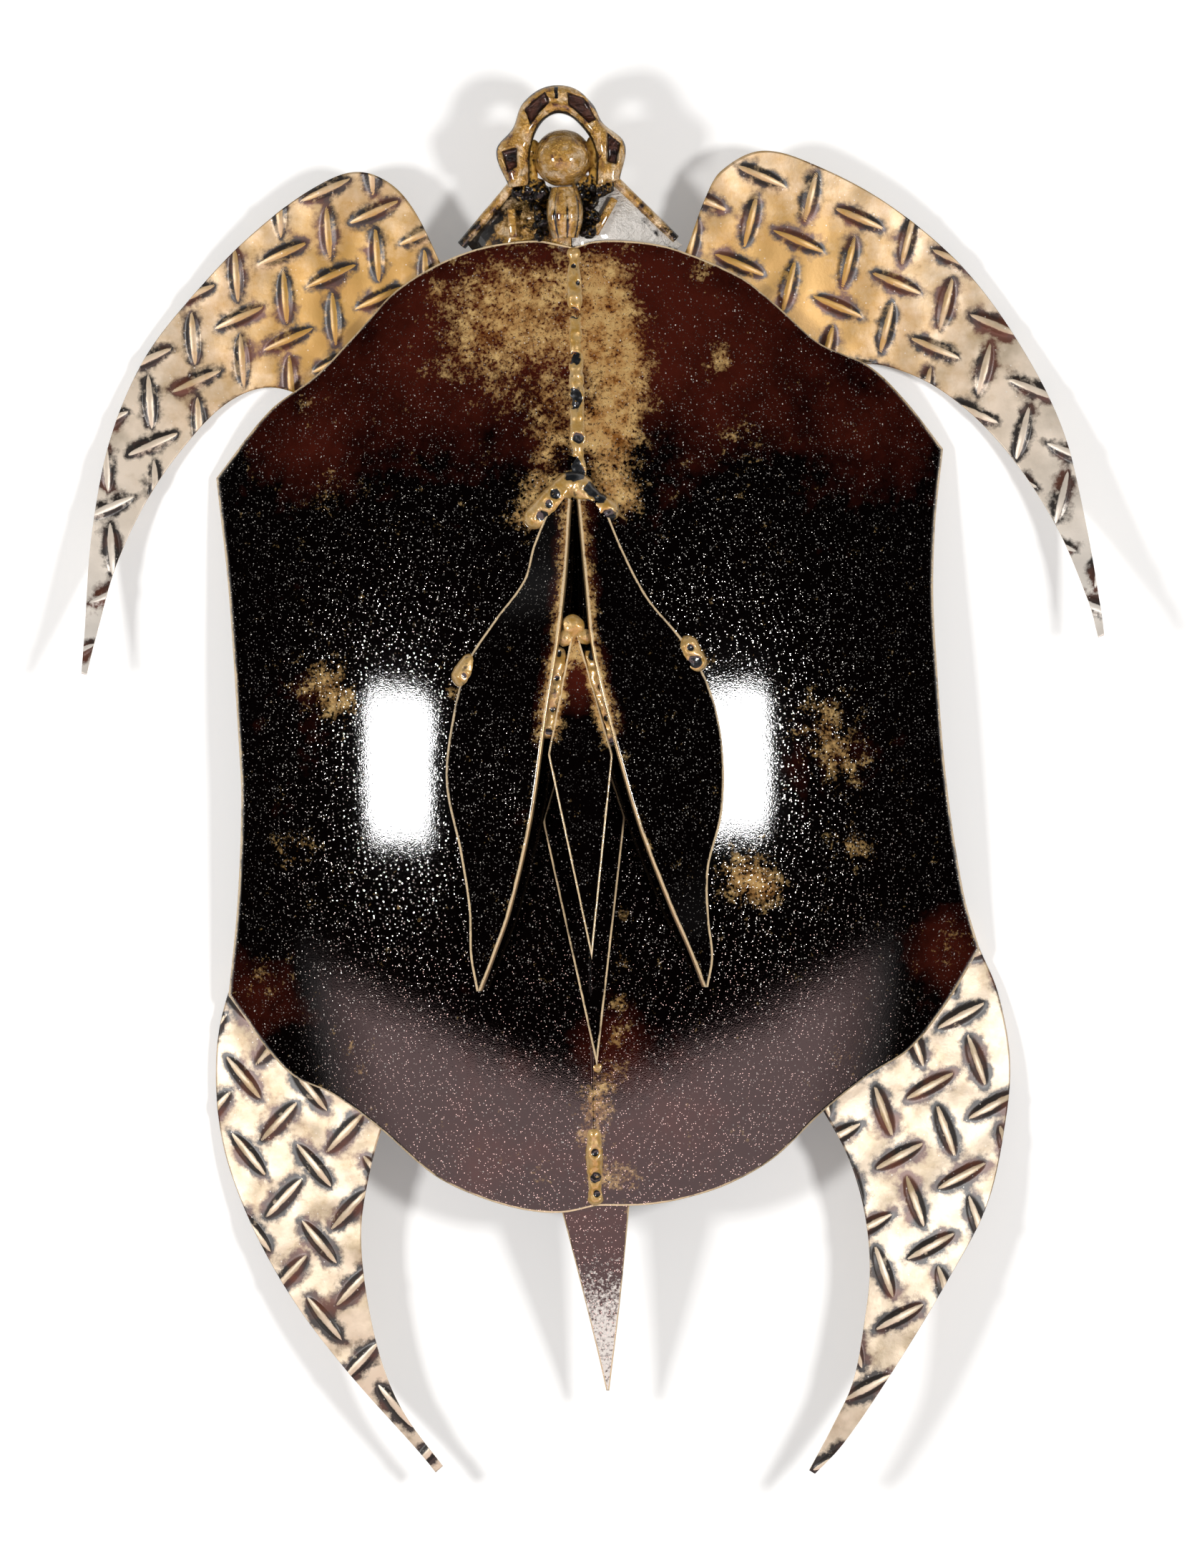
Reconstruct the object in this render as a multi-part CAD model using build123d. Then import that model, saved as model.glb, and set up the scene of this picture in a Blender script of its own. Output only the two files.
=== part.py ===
from build123d import *
import math
import os

# Sea turtle figurine, welded from cut and bent sheet steel.
# Millimetres, +Z up out of the back, +Y toward the head, +X to the turtle's right as seen from above.

# Shell: two beaten sheet halves that meet in a crease along the back
SHELL_LENGTH = 419.0
SHELL_WIDTH = 331.0
SHELL_SHEET = 2.0
RIDGE_RADIUS = 900.0
CROWN_SETBACK = 24.0
LEFT_ARCH_RADIUS = 420.0
RIGHT_ARCH_RADIUS = 450.0
CREASE_ANGLE = 7.0

# Leaf-shaped scutes and the two kite-shaped keel plates on the back
SCUTE_LENGTH = 218.0
SCUTE_SHEET = 2.0
SCUTE_RISE = 15.0
SCUTE_TIP_LIFT = 6.0
KEEL_SHEET = 2.0
KEEL_FRONT_LENGTH = 147.0
KEEL_FRONT_NOSE_LIFT = 9.0
KEEL_FRONT_TIP_LIFT = 17.0
KEEL_REAR_LENGTH = 166.0
KEEL_REAR_NOSE_LIFT = 5.0

# Flippers cut from tread plate
FLIPPER_SHEET = 2.5
FRONT_FLIPPER_LEFT_LENGTH = 252.0
FRONT_FLIPPER_RIGHT_LENGTH = 260.0
REAR_FLIPPER_LEFT_LENGTH = 228.0
REAR_FLIPPER_RIGHT_LENGTH = 240.0
FRONT_FLIPPER_BEND_RADIUS = 230.0
REAR_FLIPPER_BEND_RADIUS = 475.0
FRONT_FLIPPER_FALL_ANGLE = 0.0
REAR_FLIPPER_LEFT_FALL_ANGLE = 12.0
REAR_FLIPPER_RIGHT_FALL_ANGLE = 3.0
LUG_LENGTH = 24.0
LUG_WIDTH = 6.5
LUG_HEIGHT = 1.4

# Tail plate
TAIL_LENGTH = 82.0
TAIL_SHEET = 2.0
TAIL_FALL_ANGLE = 12.0

# Head and neck
HEAD_CAP_LENGTH = 44.0
HEAD_CAP_THICKNESS = 14.0
HEAD_PANEL_DEPTH = 2.5
BALL_DIAMETER = 25.4
BALL_LIFT = 2.0
NECK_BARREL_DIAMETER = 16.0
NECK_BARREL_NECK_DIAMETER = 11.0
NECK_WEB_SHEET = 2.5
NECK_WEB_FALL_ANGLE = 12.0
NECK_BAR_DIAMETER = 4.5
NECK_STRUT_WIDTH = 3.5

# Weld beads
RIDGE_BEAD_RADIUS = 2.6
FORK_BEAD_RADIUS = 3.0
TACK_BEAD_RADIUS = 3.2
SEAM_BEAD_RADIUS = 2.2
NOSE_BEAD_RADIUS = 4.5
PUDDLE_RADIUS = 6.0
NECK_LUMP_RADIUS = 5.0

# Clearance under a sheet that a piece slides beneath, film between a weld and its seat, overrun of cutting solids
FIT_GAP = 0.3
RIM_GAP = 1.0
WELD_SEAT = 0.05
OVERRUN = 20.0

# Photo points are pixels, counted right and down, of the 1680 by 2192 picture from above
NOSE_NOTCH_PX = (802, 345)
TAIL_NOTCH_PX = (833, 1685)
SHELL_WIDTH_PX = 1060

SHELL_LEFT_PX = [
    [NOSE_NOTCH_PX, (744, 335), (650, 351), (560, 398), (500, 460), (440, 522), (374, 571), (298, 665)],
    [(298, 665), (316, 820), (331, 1034), (335, 1120), (329, 1266), (316, 1394)],
    [(316, 1394), (399, 1499), (469, 1534), (531, 1579), (603, 1641), (655, 1668), (726, 1690), (785, 1695),
     TAIL_NOTCH_PX],
    [TAIL_NOTCH_PX, NOSE_NOTCH_PX],
]
SHELL_RIGHT_PX = [
    [NOSE_NOTCH_PX, (834, 336), (887, 336), (941, 345), (1034, 383), (1086, 423), (1148, 477), (1218, 508),
     (1270, 557), (1323, 624)],
    [(1323, 624), (1312, 720), (1308, 817), (1311, 900), (1326, 1088), (1351, 1249), (1374, 1328)],
    [(1374, 1328), (1325, 1408), (1274, 1469), (1217, 1504), (1154, 1553), (1084, 1619), (1021, 1655),
     (959, 1675), (905, 1684), TAIL_NOTCH_PX],
    [TAIL_NOTCH_PX, NOSE_NOTCH_PX],
]

# Each flipper: its edge from the hidden root round to the tip and back, the two places where the shell's rim
# crosses it, the tread lattice (one lug and the steps to its two neighbours) and its weld puddles
FRONT_LEFT_PX = {
    "edges": [
        [(640, 430), (616, 367), (563, 270), (505, 237), (443, 255), (354, 319), (274, 399), (199, 494),
         (150, 608), (124, 747), (115, 896), (112, 942)],
        [(112, 942), (119, 944)],
        [(119, 944), (130, 896), (160, 785), (209, 683), (274, 596), (324, 553), (374, 538), (425, 552),
         (480, 580)],
        [(480, 580), (640, 430)],
    ],
    "rim": [(616, 367), (393, 541)],
    "length": [(505, 237), (112, 942)],
    "tread": [(461, 382), (65, -29), (4, 60)],
    "puddles": [(605, 410), (455, 545)],
}
FRONT_RIGHT_PX = {
    "edges": [
        [(925, 430), (961, 345), (987, 274), (1010, 235), (1067, 207), (1143, 227), (1247, 282), (1351, 369),
         (1431, 477), (1490, 595), (1521, 723), (1543, 860), (1546, 889)],
        [(1546, 889), (1538, 892)],
        [(1538, 892), (1525, 841), (1478, 728), (1405, 619), (1322, 543), (1242, 508), (1190, 510), (1130, 545)],
        [(1130, 545), (925, 430)],
    ],
    "rim": [(961, 345), (1216, 507)],
    "length": [(1067, 207), (1546, 889)],
    "tread": [(1174, 425), (69, 29), (-15, 62)],
    "puddles": [(985, 400), (1120, 510)],
}
REAR_LEFT_PX = {
    "edges": [
        [(345, 1335), (314, 1394), (298, 1484), (307, 1599), (345, 1708), (404, 1815), (479, 1914), (588, 2036),
         (607, 2060)],
        [(607, 2060), (617, 2051)],
        [(617, 2051), (569, 1987), (541, 1932), (519, 1857), (504, 1758), (506, 1688), (531, 1581), (560, 1520)],
        [(560, 1520), (345, 1335)],
    ],
    "rim": [(316, 1394), (531, 1581)],
    "length": [(316, 1394), (607, 2060)],
    "tread": [(437, 1631), (50, 61), (43, -46)],
    "puddles": [(380, 1405), (500, 1510)],
}
REAR_RIGHT_PX = {
    "edges": [
        [(1350, 1275), (1376, 1331), (1401, 1392), (1417, 1484), (1410, 1571), (1383, 1688), (1319, 1806),
         (1253, 1913), (1182, 2017), (1141, 2061)],
        [(1141, 2061), (1133, 2056)],
        [(1133, 2056), (1166, 1994), (1194, 1933), (1210, 1851), (1218, 1775), (1210, 1693), (1187, 1617),
         (1154, 1556), (1120, 1500)],
        [(1120, 1500), (1350, 1275)],
    ],
    "rim": [(1374, 1331), (1154, 1556)],
    "length": [(1376, 1331), (1141, 2061)],
    "tread": [(1304, 1520), (66, -35), (22, 63)],
    "puddles": [(1320, 1345), (1190, 1485)],
}

# Leaf scutes: outer edge and lifted inner edge, both from the front to the tip
SCUTE_LEFT_PX = {
    "outer": [(778, 693), (748, 764), (734, 814), (690, 874), (655, 929), (632, 1017), (625, 1100), (644, 1192),
              (657, 1275), (659, 1340), (668, 1390)],
    "inner": [(799, 700), (792, 808), (781, 901), (765, 1000), (744, 1148), (715, 1274), (690, 1346), (673, 1390)],
}
SCUTE_RIGHT_PX = {
    "outer": [(841, 700), (869, 770), (904, 836), (954, 896), (987, 956), (1005, 1033), (1005, 1126), (986, 1203),
              (986, 1269), (992, 1325), (985, 1366)],
    "inner": [(808, 700), (818, 808), (828, 901), (852, 1005), (890, 1140), (935, 1258), (960, 1315), (980, 1366)],
}
SCUTE_RISE_SHARES = [0.2, 0.55, 0.8, 1.0, 1.0, 0.78, 0.6, 0.45]
SCUTE_LIFT_FROM_SHARE = 0.4
SCUTE_LEFT_ENDS_PX = [(789, 697), (670, 1390)]
SCUTE_RIGHT_ENDS_PX = [(824, 700), (982, 1366)]

# Keel plates: nose, left corner, tip and right corner, and the stretch of each side that is welded to a scute
KEEL_FRONT_PX = [(803, 870), (767, 1055), (828, 1340), (857, 1055)]
KEEL_REAR_PX = [(815, 960), (760, 1150), (835, 1491), (874, 1143)]
FORK_PX = [(737, 737), (800, 676), (863, 726)]
TACK_LEFT_PX = [(640, 960), (662, 915)]
TACK_RIGHT_PX = [(955, 890), (980, 940)]
SEAM_LEFT_PX = [(783, 905), (764, 1033)]
SEAM_RIGHT_PX = [(826, 905), (859, 1044)]
FRONT_BEAD_END_PX = (802, 680)
REAR_BEAD_START_PX = (831, 1573)
KEEL_TACK_PX = (816, 1010)
NOSE_BEAD_PX = [(802, 877)]

# Tail plate and its weld
TAIL_PX = [
    [(772, 1640), (800, 1745), (833, 1878), (848, 1944)],
    [(848, 1944), (852, 1944)],
    [(852, 1944), (866, 1828), (874, 1748), (884, 1640)],
    [(884, 1640), (772, 1640)],
]
TAIL_ENDS_PX = [(832, 1685), (850, 1944)]
TAIL_WELD_PX = (800, 1660)
TAIL_RIM_PX = (776, 1690)

# Head cap: outer edge, feet and inner arch, its four sunk panels, and the places of the neck's pieces
HEAD_CAP_PX = [
    [(712, 262), (694, 211), (717, 179), (731, 144), (763, 121), (801, 122), (829, 145), (843, 171), (874, 201),
     (867, 251)],
    [(867, 251), (834, 258)],
    [(834, 258), (831, 205), (804, 167), (779, 158), (757, 172), (743, 205), (741, 258)],
    [(741, 258), (712, 262)],
]
HEAD_ENDS_PX = [(783, 120), (787, 261)]
HEAD_PANELS_PX = [
    [(734, 152), (762, 129), (767, 142), (742, 172)],
    [(794, 130), (816, 137), (833, 166), (824, 171), (796, 146)],
    [(702, 212), (723, 207), (722, 232), (711, 240)],
    [(850, 186), (867, 200), (862, 229), (850, 226)],
]
BALL_PX = (787, 220)
BARREL_REAR_PX = (791, 333)
WEB_LEFT_PX = [(797, 264), (712, 268), (649, 334), (690, 385), (800, 385)]
WEB_RIGHT_PX = [(799, 264), (864, 260), (955, 340), (905, 385), (802, 385)]
BAR_LEFT_PX = [(716, 257), (645, 340)]
BAR_RIGHT_PX = [(860, 250), (945, 332)]
STRUT_LEFT_PX = [(716, 290), (720, 330)]
STRUT_RIGHT_PX = [(858, 276), (830, 326)]
NECK_LUMPS_LEFT_PX = [(731, 268), (748, 279), (752, 302)]
NECK_LUMPS_RIGHT_PX = [(848, 262), (832, 274), (829, 298)]
NECK_LUMP_SHARES = [1.0, 0.9, 0.7]

# Waist of a bead between its knuckles
BEAD_WAIST_SHARE = 0.93

# How far the sheets are drawn past the shell's own outline before it is cut out of them
SHEET_REACH_SHARE = 0.58
SWING_REACH_SHARE = 0.72

CREASE = math.radians(CREASE_ANGLE)
CROWN_Y = -CROWN_SETBACK
RIDGE_AXIS = Axis((0, CROWN_Y, -RIDGE_RADIUS), (1, 0, 0))
RIDGE_PX = Vector(*TAIL_NOTCH_PX) - Vector(*NOSE_NOTCH_PX)
RIDGE_MIDDLE_PX = (Vector(*TAIL_NOTCH_PX) + Vector(*NOSE_NOTCH_PX)) / 2


def ridge_frame(point_px):
    """A photo point as pixels right of the ridge and forward of its middle."""
    offset = Vector(*point_px) - RIDGE_MIDDLE_PX
    rear = RIDGE_PX.normalized()
    right = Vector(rear.Y, -rear.X)
    return Vector(offset.dot(right), -offset.dot(rear))


def on_shell(point_px):
    """Plan position of a photo point that belongs to the shell."""
    pixels = ridge_frame(point_px)
    return Vector(pixels.X * SHELL_WIDTH / SHELL_WIDTH_PX, pixels.Y * SHELL_LENGTH / RIDGE_PX.length)


def on_piece(anchor_px, length, ends_px):
    """Placing function of a piece that keeps its own length and sits on the shell at its anchor."""
    scale = length / (Vector(*ends_px[1]) - Vector(*ends_px[0])).length
    anchor = ridge_frame(anchor_px)
    return lambda point_px: on_shell(anchor_px) + (ridge_frame(point_px) - anchor) * scale


def shell_height(place):
    """Height of the shell's outer face over a plan position, with the crown at zero."""
    radius = LEFT_ARCH_RADIUS if place.X < 0 else RIGHT_ARCH_RADIUS
    slope_sine = math.sin(CREASE) + abs(place.X) / radius
    drop = radius * (math.cos(CREASE) - math.sqrt(1 - slope_sine ** 2))
    swing = RIDGE_RADIUS - drop
    return math.sqrt(swing ** 2 - (place.Y - CROWN_Y) ** 2) - RIDGE_RADIUS


def raised(place, lift):
    """Point above a plan position, lifted off the shell's outer face."""
    return Vector(place.X, place.Y, shell_height(place) + lift)


def outline_face(runs_px, placer):
    """Flat face bounded by runs of photo points: two points make a line, more make a smooth curve."""
    edges = []
    for run in runs_px:
        points = [placer(point) for point in run]
        edges.append(Line(*points) if len(points) == 2 else Spline(*points))
    return Face(Wire(edges))


def prism(face):
    """Upright prism through a plan outline, taller than the whole figurine."""
    return extrude(face, amount=SHELL_WIDTH, both=True)


def shell_band(side, outer, inner):
    """One half of the arched shell between two offsets from its outer face, before it is cut out."""
    radius = LEFT_ARCH_RADIUS if side < 0 else RIGHT_ARCH_RADIUS
    centre = (-side * radius * math.sin(CREASE), -radius * math.cos(CREASE))
    lean = math.degrees(math.asin(math.sin(CREASE) + SHEET_REACH_SHARE * SHELL_WIDTH / radius))
    start = 90 - lean if side > 0 else 90
    top = CenterArc(centre, radius + outer, start, lean)
    bottom = CenterArc(centre, radius + inner, start, lean)
    section = Face(Wire([top, Line(top @ 1, bottom @ 1), bottom, Line(bottom @ 0, top @ 0)]))
    swing = math.degrees(math.atan(SWING_REACH_SHARE * SHELL_LENGTH / RIDGE_RADIUS))
    upright = Pos(0, CROWN_Y, 0) * (Plane.XZ * section)
    band = revolve(upright.rotate(RIDGE_AXIS, -swing), RIDGE_AXIS, 2 * swing)
    half_space = Box(SHELL_WIDTH, 2 * SHELL_LENGTH, 4 * SHELL_WIDTH)
    return band & (Pos(side * SHELL_WIDTH / 2, 0, 0) * half_space)


def bead(points, radius):
    """Weld bead: a round-ended tube along a few points."""
    tube = Pos(points[0]) * Sphere(radius)
    for start, end in zip(points, points[1:]):
        run = end - start
        tube += Plane(origin=start, z_dir=run) * Cylinder(
            radius * BEAD_WAIST_SHARE, run.length, align=(Align.CENTER, Align.CENTER, Align.MIN))
        tube += Pos(end) * Sphere(radius)
    return tube


def largest(shape):
    """The main solid that is left of a trimmed piece."""
    return max(shape.solids(), key=lambda solid: solid.volume)


def sheet_on_plane(face, origin, normal, thickness):
    """Flat sheet with the plan outline of a face, its top in a sloping plane."""
    slab = Plane(origin=origin, z_dir=normal) * Box(
        2 * SHELL_LENGTH, 2 * SHELL_LENGTH, thickness, align=(Align.CENTER, Align.CENTER, Align.MAX))
    return slab & prism(face)


def height_on_plane(place, origin, normal):
    """Height of a sloping plane over a plan position."""
    return origin.Z - ((place.X - origin.X) * normal.X + (place.Y - origin.Y) * normal.Y) / normal.Z


def under_plane(origin, normal):
    """Thick block below a sloping plane."""
    return Plane(origin=origin, z_dir=normal) * Box(
        2 * SHELL_LENGTH, 2 * SHELL_LENGTH, SHELL_WIDTH, align=(Align.CENTER, Align.CENTER, Align.MAX))


def puddle(place, bottom, cutters):
    """Weld puddle that fills the room between a plate and the shell above it."""
    post = Pos(place.X, place.Y, bottom) * Cylinder(
        PUDDLE_RADIUS, shell_height(place) - bottom, align=(Align.CENTER, Align.CENTER, Align.MIN))
    for cutter in cutters:
        post -= cutter
    return largest(post)


def lug():
    """One lens-shaped lug of the tread plate, lying along X and sunk halfway into the sheet."""
    girth = ((LUG_WIDTH / 2) ** 2 + LUG_HEIGHT ** 2) / (2 * LUG_HEIGHT)
    depth = girth - LUG_HEIGHT
    bow = ((LUG_LENGTH / 2) ** 2 + LUG_HEIGHT ** 2) / (2 * LUG_HEIGHT)
    half_length = math.sqrt(bow ** 2 - (bow - girth) ** 2)
    rim = ThreePointArc((-half_length, 0), (0, girth), (half_length, 0))
    spindle = revolve(Face(Wire([rim, Line(rim @ 1, rim @ 0)])), Axis.X, 360)
    keep = Pos(0, 0, -FLIPPER_SHEET / 2) * Box(
        2 * half_length, 2 * girth, LUG_HEIGHT + FLIPPER_SHEET, align=(Align.CENTER, Align.CENTER, Align.MIN))
    return (Pos(0, 0, -depth) * spindle) & keep


class TreadSheet:
    """Bent tread plate that runs under the shell's rim: straight along the rim, then curved up or down."""

    def __init__(self, rim, bend_radius, bend_side, fall_angle):
        start, end = rim
        self.end = end
        self.along = (end - start).normalized()
        self.out = Vector(-self.along.Y, self.along.X)
        if self.out.dot(end) < 0:
            self.out = -self.out
        clearance = SHELL_SHEET + RIM_GAP + LUG_HEIGHT
        self.end_height = shell_height(end) - clearance
        start_height = shell_height(start) - clearance
        self.slope = math.atan((self.end_height - start_height) / (end - start).length)
        self.curl = bend_side / bend_radius
        self.fall = math.tan(math.radians(fall_angle))

    def turn(self, run):
        """Slope angle of the sheet at a distance past the rim's far crossing."""
        if run <= 0:
            return self.slope
        return math.asin(math.sin(self.slope) + run * self.curl)

    def profile(self, run):
        """Height of the sheet's top, along the rim line."""
        if run <= 0:
            return self.end_height + run * math.tan(self.slope)
        return self.end_height + (math.cos(self.slope) - math.cos(self.turn(run))) / self.curl

    def height(self, place):
        """Height of the sheet's top over a plan position."""
        offset = place - self.end
        return self.profile(offset.dot(self.along)) - offset.dot(self.out) * self.fall

    def frame(self, place, direction):
        """Working plane on the sheet's top, with X along a plan direction."""
        run = (place - self.end).dot(self.along)
        steep = self.along * math.tan(self.turn(run)) - self.out * self.fall
        heading = Vector(direction.X, direction.Y, direction.dot(steep))
        spot = Vector(place.X, place.Y, self.height(place))
        return Plane(origin=spot, x_dir=heading, z_dir=(-steep.X, -steep.Y, 1))

    def band(self, thickness, back, ahead):
        """The whole bent sheet before the flipper is cut out of it."""
        crosswise = self.along.cross(Vector(0, 0, 1))
        upright = Plane(origin=(self.end.X, self.end.Y, 0), x_dir=self.along, z_dir=crosswise)

        def corner(run, depth):
            angle = self.turn(run)
            return Vector(run + depth * math.sin(angle), self.profile(run) - depth * math.cos(angle))

        edges = [
            Line(corner(-back, 0), corner(0, 0)),
            ThreePointArc(corner(0, 0), corner(ahead / 2, 0), corner(ahead, 0)),
            Line(corner(ahead, 0), corner(ahead, thickness)),
            ThreePointArc(corner(ahead, thickness), corner(ahead / 2, thickness), corner(0, thickness)),
            Line(corner(0, thickness), corner(-back, thickness)),
            Line(corner(-back, thickness), corner(-back, 0)),
        ]
        section = upright * Face(Wire(edges))
        spread = Vector(self.out.X, self.out.Y, -self.fall)
        return extrude(section, amount=SHELL_LENGTH, dir=spread, both=True)


def flipper(points_px, length, bend_radius, bend_side, fall_angle):
    """One flipper with its lugs, and the weld puddles that hold it under the shell."""
    placer = on_piece(points_px["rim"][0], length, points_px["length"])
    rim = [on_shell(points_px["rim"][0]), placer(points_px["rim"][1])]
    sheet = TreadSheet(rim, bend_radius, bend_side, fall_angle)
    face = outline_face(points_px["edges"], placer)
    corners = [placer(point) for run in points_px["edges"] for point in run]
    runs = [(corner - sheet.end).dot(sheet.along) for corner in corners]
    back = FIT_GAP - min(runs)
    ahead = FIT_GAP + max(runs)
    plate = sheet.band(FLIPPER_SHEET, back, ahead)

    seed, across, down = points_px["tread"]
    seed_place = placer(seed)
    steps = [placer(Vector(*seed) + Vector(*step)) - seed_place for step in (across, down)]
    count = math.ceil(length / min(step.length for step in steps))
    pattern = lug()
    lugs = []
    for column in range(-count, count + 1):
        for row in range(-count, count + 1):
            place = seed_place + steps[0] * column + steps[1] * row
            if face.distance_to(place) < LUG_LENGTH / 4:
                lugs.append(sheet.frame(place, steps[(column + row) % 2].normalized()) * pattern)
    plate = largest(plate.fuse(*lugs) & prism(face))

    side = -1 if sheet.end.X < 0 else 1
    cutters = [ABOVE_UNDERSIDE[side], Pos(0, 0, WELD_SEAT) * sheet.band(OVERRUN, back, ahead), plate]
    puddles = []
    for point in points_px["puddles"]:
        place = placer(point)
        puddles.append(puddle(place, sheet.height(place) - FLIPPER_SHEET, cutters))
    return plate, Compound(puddles)


def scute(points_px, ends_px):
    """One leaf plate, ruled between its outer edge on the shell and its lifted inner edge."""
    placer = on_piece(ends_px[0], SCUTE_LENGTH, ends_px)
    outer = []
    for index, point in enumerate(points_px["outer"]):
        along = index / (len(points_px["outer"]) - 1)
        lift = SCUTE_TIP_LIFT * max(0, along - SCUTE_LIFT_FROM_SHARE) / (1 - SCUTE_LIFT_FROM_SHARE)
        outer.append(raised(placer(point), lift + SCUTE_SHEET / 2))
    inner = [raised(placer(point), SCUTE_RISE * share + SCUTE_SHEET / 2)
             for point, share in zip(points_px["inner"], SCUTE_RISE_SHARES)]
    leaf = Face.make_surface_from_curves(Spline(*outer), Spline(*inner))
    return thicken(leaf, amount=SCUTE_SHEET / 2, both=True)


parts = {}

# Shell halves and the beads along their crease
parts["shell_left"] = largest(shell_band(-1, 0, -SHELL_SHEET) & prism(outline_face(SHELL_LEFT_PX, on_shell)))
parts["shell_right"] = largest(shell_band(1, 0, -SHELL_SHEET) & prism(outline_face(SHELL_RIGHT_PX, on_shell)))
UNDER_SKIN = {side: shell_band(side, WELD_SEAT, -OVERRUN) for side in (-1, 1)}
ABOVE_UNDERSIDE = {side: shell_band(side, OVERRUN, -SHELL_SHEET - WELD_SEAT) for side in (-1, 1)}


def off_shell(piece, *others):
    """The part of a piece that stands clear of the shell's outer face and of other pieces."""
    for cutter in [*UNDER_SKIN.values(), *others]:
        piece -= cutter
    return largest(piece)


def ridge_bead(front_y, rear_y):
    """Bead along the crease between two stations, following the ridge's arch."""
    front = math.degrees(math.asin((front_y - CROWN_Y) / RIDGE_RADIUS))
    rear = math.degrees(math.asin((rear_y - CROWN_Y) / RIDGE_RADIUS))
    disc = Pos(0, CROWN_Y, 0) * (Plane.XZ * Circle(RIDGE_BEAD_RADIUS))
    return revolve(disc.rotate(RIDGE_AXIS, -front), RIDGE_AXIS, front - rear)


NOSE = on_shell(NOSE_NOTCH_PX)
TAIL = on_shell(TAIL_NOTCH_PX)
parts["front_ridge_weld"] = off_shell(ridge_bead(NOSE.Y, on_shell(FRONT_BEAD_END_PX).Y))
parts["rear_ridge_weld"] = off_shell(ridge_bead(on_shell(REAR_BEAD_START_PX).Y, TAIL.Y))

# Leaf scutes, the forked bead at their front and the tacks at their outer edges
parts["scute_left"] = off_shell(scute(SCUTE_LEFT_PX, SCUTE_LEFT_ENDS_PX))
parts["scute_right"] = off_shell(scute(SCUTE_RIGHT_PX, SCUTE_RIGHT_ENDS_PX))
SCUTES = [parts["scute_left"], parts["scute_right"]]


def bead_on_shell(points_px, radius):
    """Bead laid on the shell along photo points."""
    return bead([raised(on_shell(point), radius / 4) for point in points_px], radius)


parts["scute_fork_weld"] = off_shell(
    bead_on_shell(FORK_PX, FORK_BEAD_RADIUS), *SCUTES, parts["front_ridge_weld"])
parts["scute_tack_left"] = off_shell(bead_on_shell(TACK_LEFT_PX, TACK_BEAD_RADIUS), *SCUTES)
parts["scute_tack_right"] = off_shell(bead_on_shell(TACK_RIGHT_PX, TACK_BEAD_RADIUS), *SCUTES)

# Flippers and their weld puddles
FLIPPERS = {
    "front_flipper_left": (FRONT_LEFT_PX, FRONT_FLIPPER_LEFT_LENGTH, FRONT_FLIPPER_BEND_RADIUS, 1,
                           FRONT_FLIPPER_FALL_ANGLE),
    "front_flipper_right": (FRONT_RIGHT_PX, FRONT_FLIPPER_RIGHT_LENGTH, FRONT_FLIPPER_BEND_RADIUS, 1,
                            FRONT_FLIPPER_FALL_ANGLE),
    "rear_flipper_left": (REAR_LEFT_PX, REAR_FLIPPER_LEFT_LENGTH, REAR_FLIPPER_BEND_RADIUS, -1,
                          REAR_FLIPPER_LEFT_FALL_ANGLE),
    "rear_flipper_right": (REAR_RIGHT_PX, REAR_FLIPPER_RIGHT_LENGTH, REAR_FLIPPER_BEND_RADIUS, -1,
                           REAR_FLIPPER_RIGHT_FALL_ANGLE),
}
for name, settings in FLIPPERS.items():
    parts[name], parts[name + "_welds"] = flipper(*settings)


def kite(corners_px, length, nose_lift, tip_lift):
    """Kite-shaped keel plate over the ridge, sloping from its nose to its tip."""
    placer = on_piece(corners_px[0], length, [corners_px[0], corners_px[2]])
    nose, tip = placer(corners_px[0]), placer(corners_px[2])
    start, end = raised(nose, nose_lift), raised(tip, tip_lift)
    normal = (start - end).cross(Vector(-1, 0, 0)).normalized()
    face = Face(Wire.make_polygon([placer(point) for point in corners_px]))
    return placer, start, normal, largest(sheet_on_plane(face, start, normal, KEEL_SHEET))


# Keel plates between the scutes, and the beads that hold them
front_placer, front_origin, front_normal, parts["keel_front"] = kite(
    KEEL_FRONT_PX, KEEL_FRONT_LENGTH, KEEL_FRONT_NOSE_LIFT, KEEL_FRONT_TIP_LIFT)
rear_placer, rear_origin, rear_normal, rear_plate = kite(
    KEEL_REAR_PX, KEEL_REAR_LENGTH, KEEL_REAR_NOSE_LIFT, KEEL_SHEET)
parts["keel_rear"] = off_shell(rear_plate)


def bead_on_keel(points_px, radius):
    """Bead along the edge of the front keel plate, at the height of the plate's middle."""
    points = []
    for point in points_px:
        place = front_placer(point)
        height = height_on_plane(place, front_origin, front_normal) - KEEL_SHEET / 2
        points.append(Vector(place.X, place.Y, height))
    return bead(points, radius)


def trimmed(piece, *others):
    """The main solid of a piece after its neighbours are cut out of it."""
    for cutter in others:
        piece -= cutter
    return largest(piece)


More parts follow.
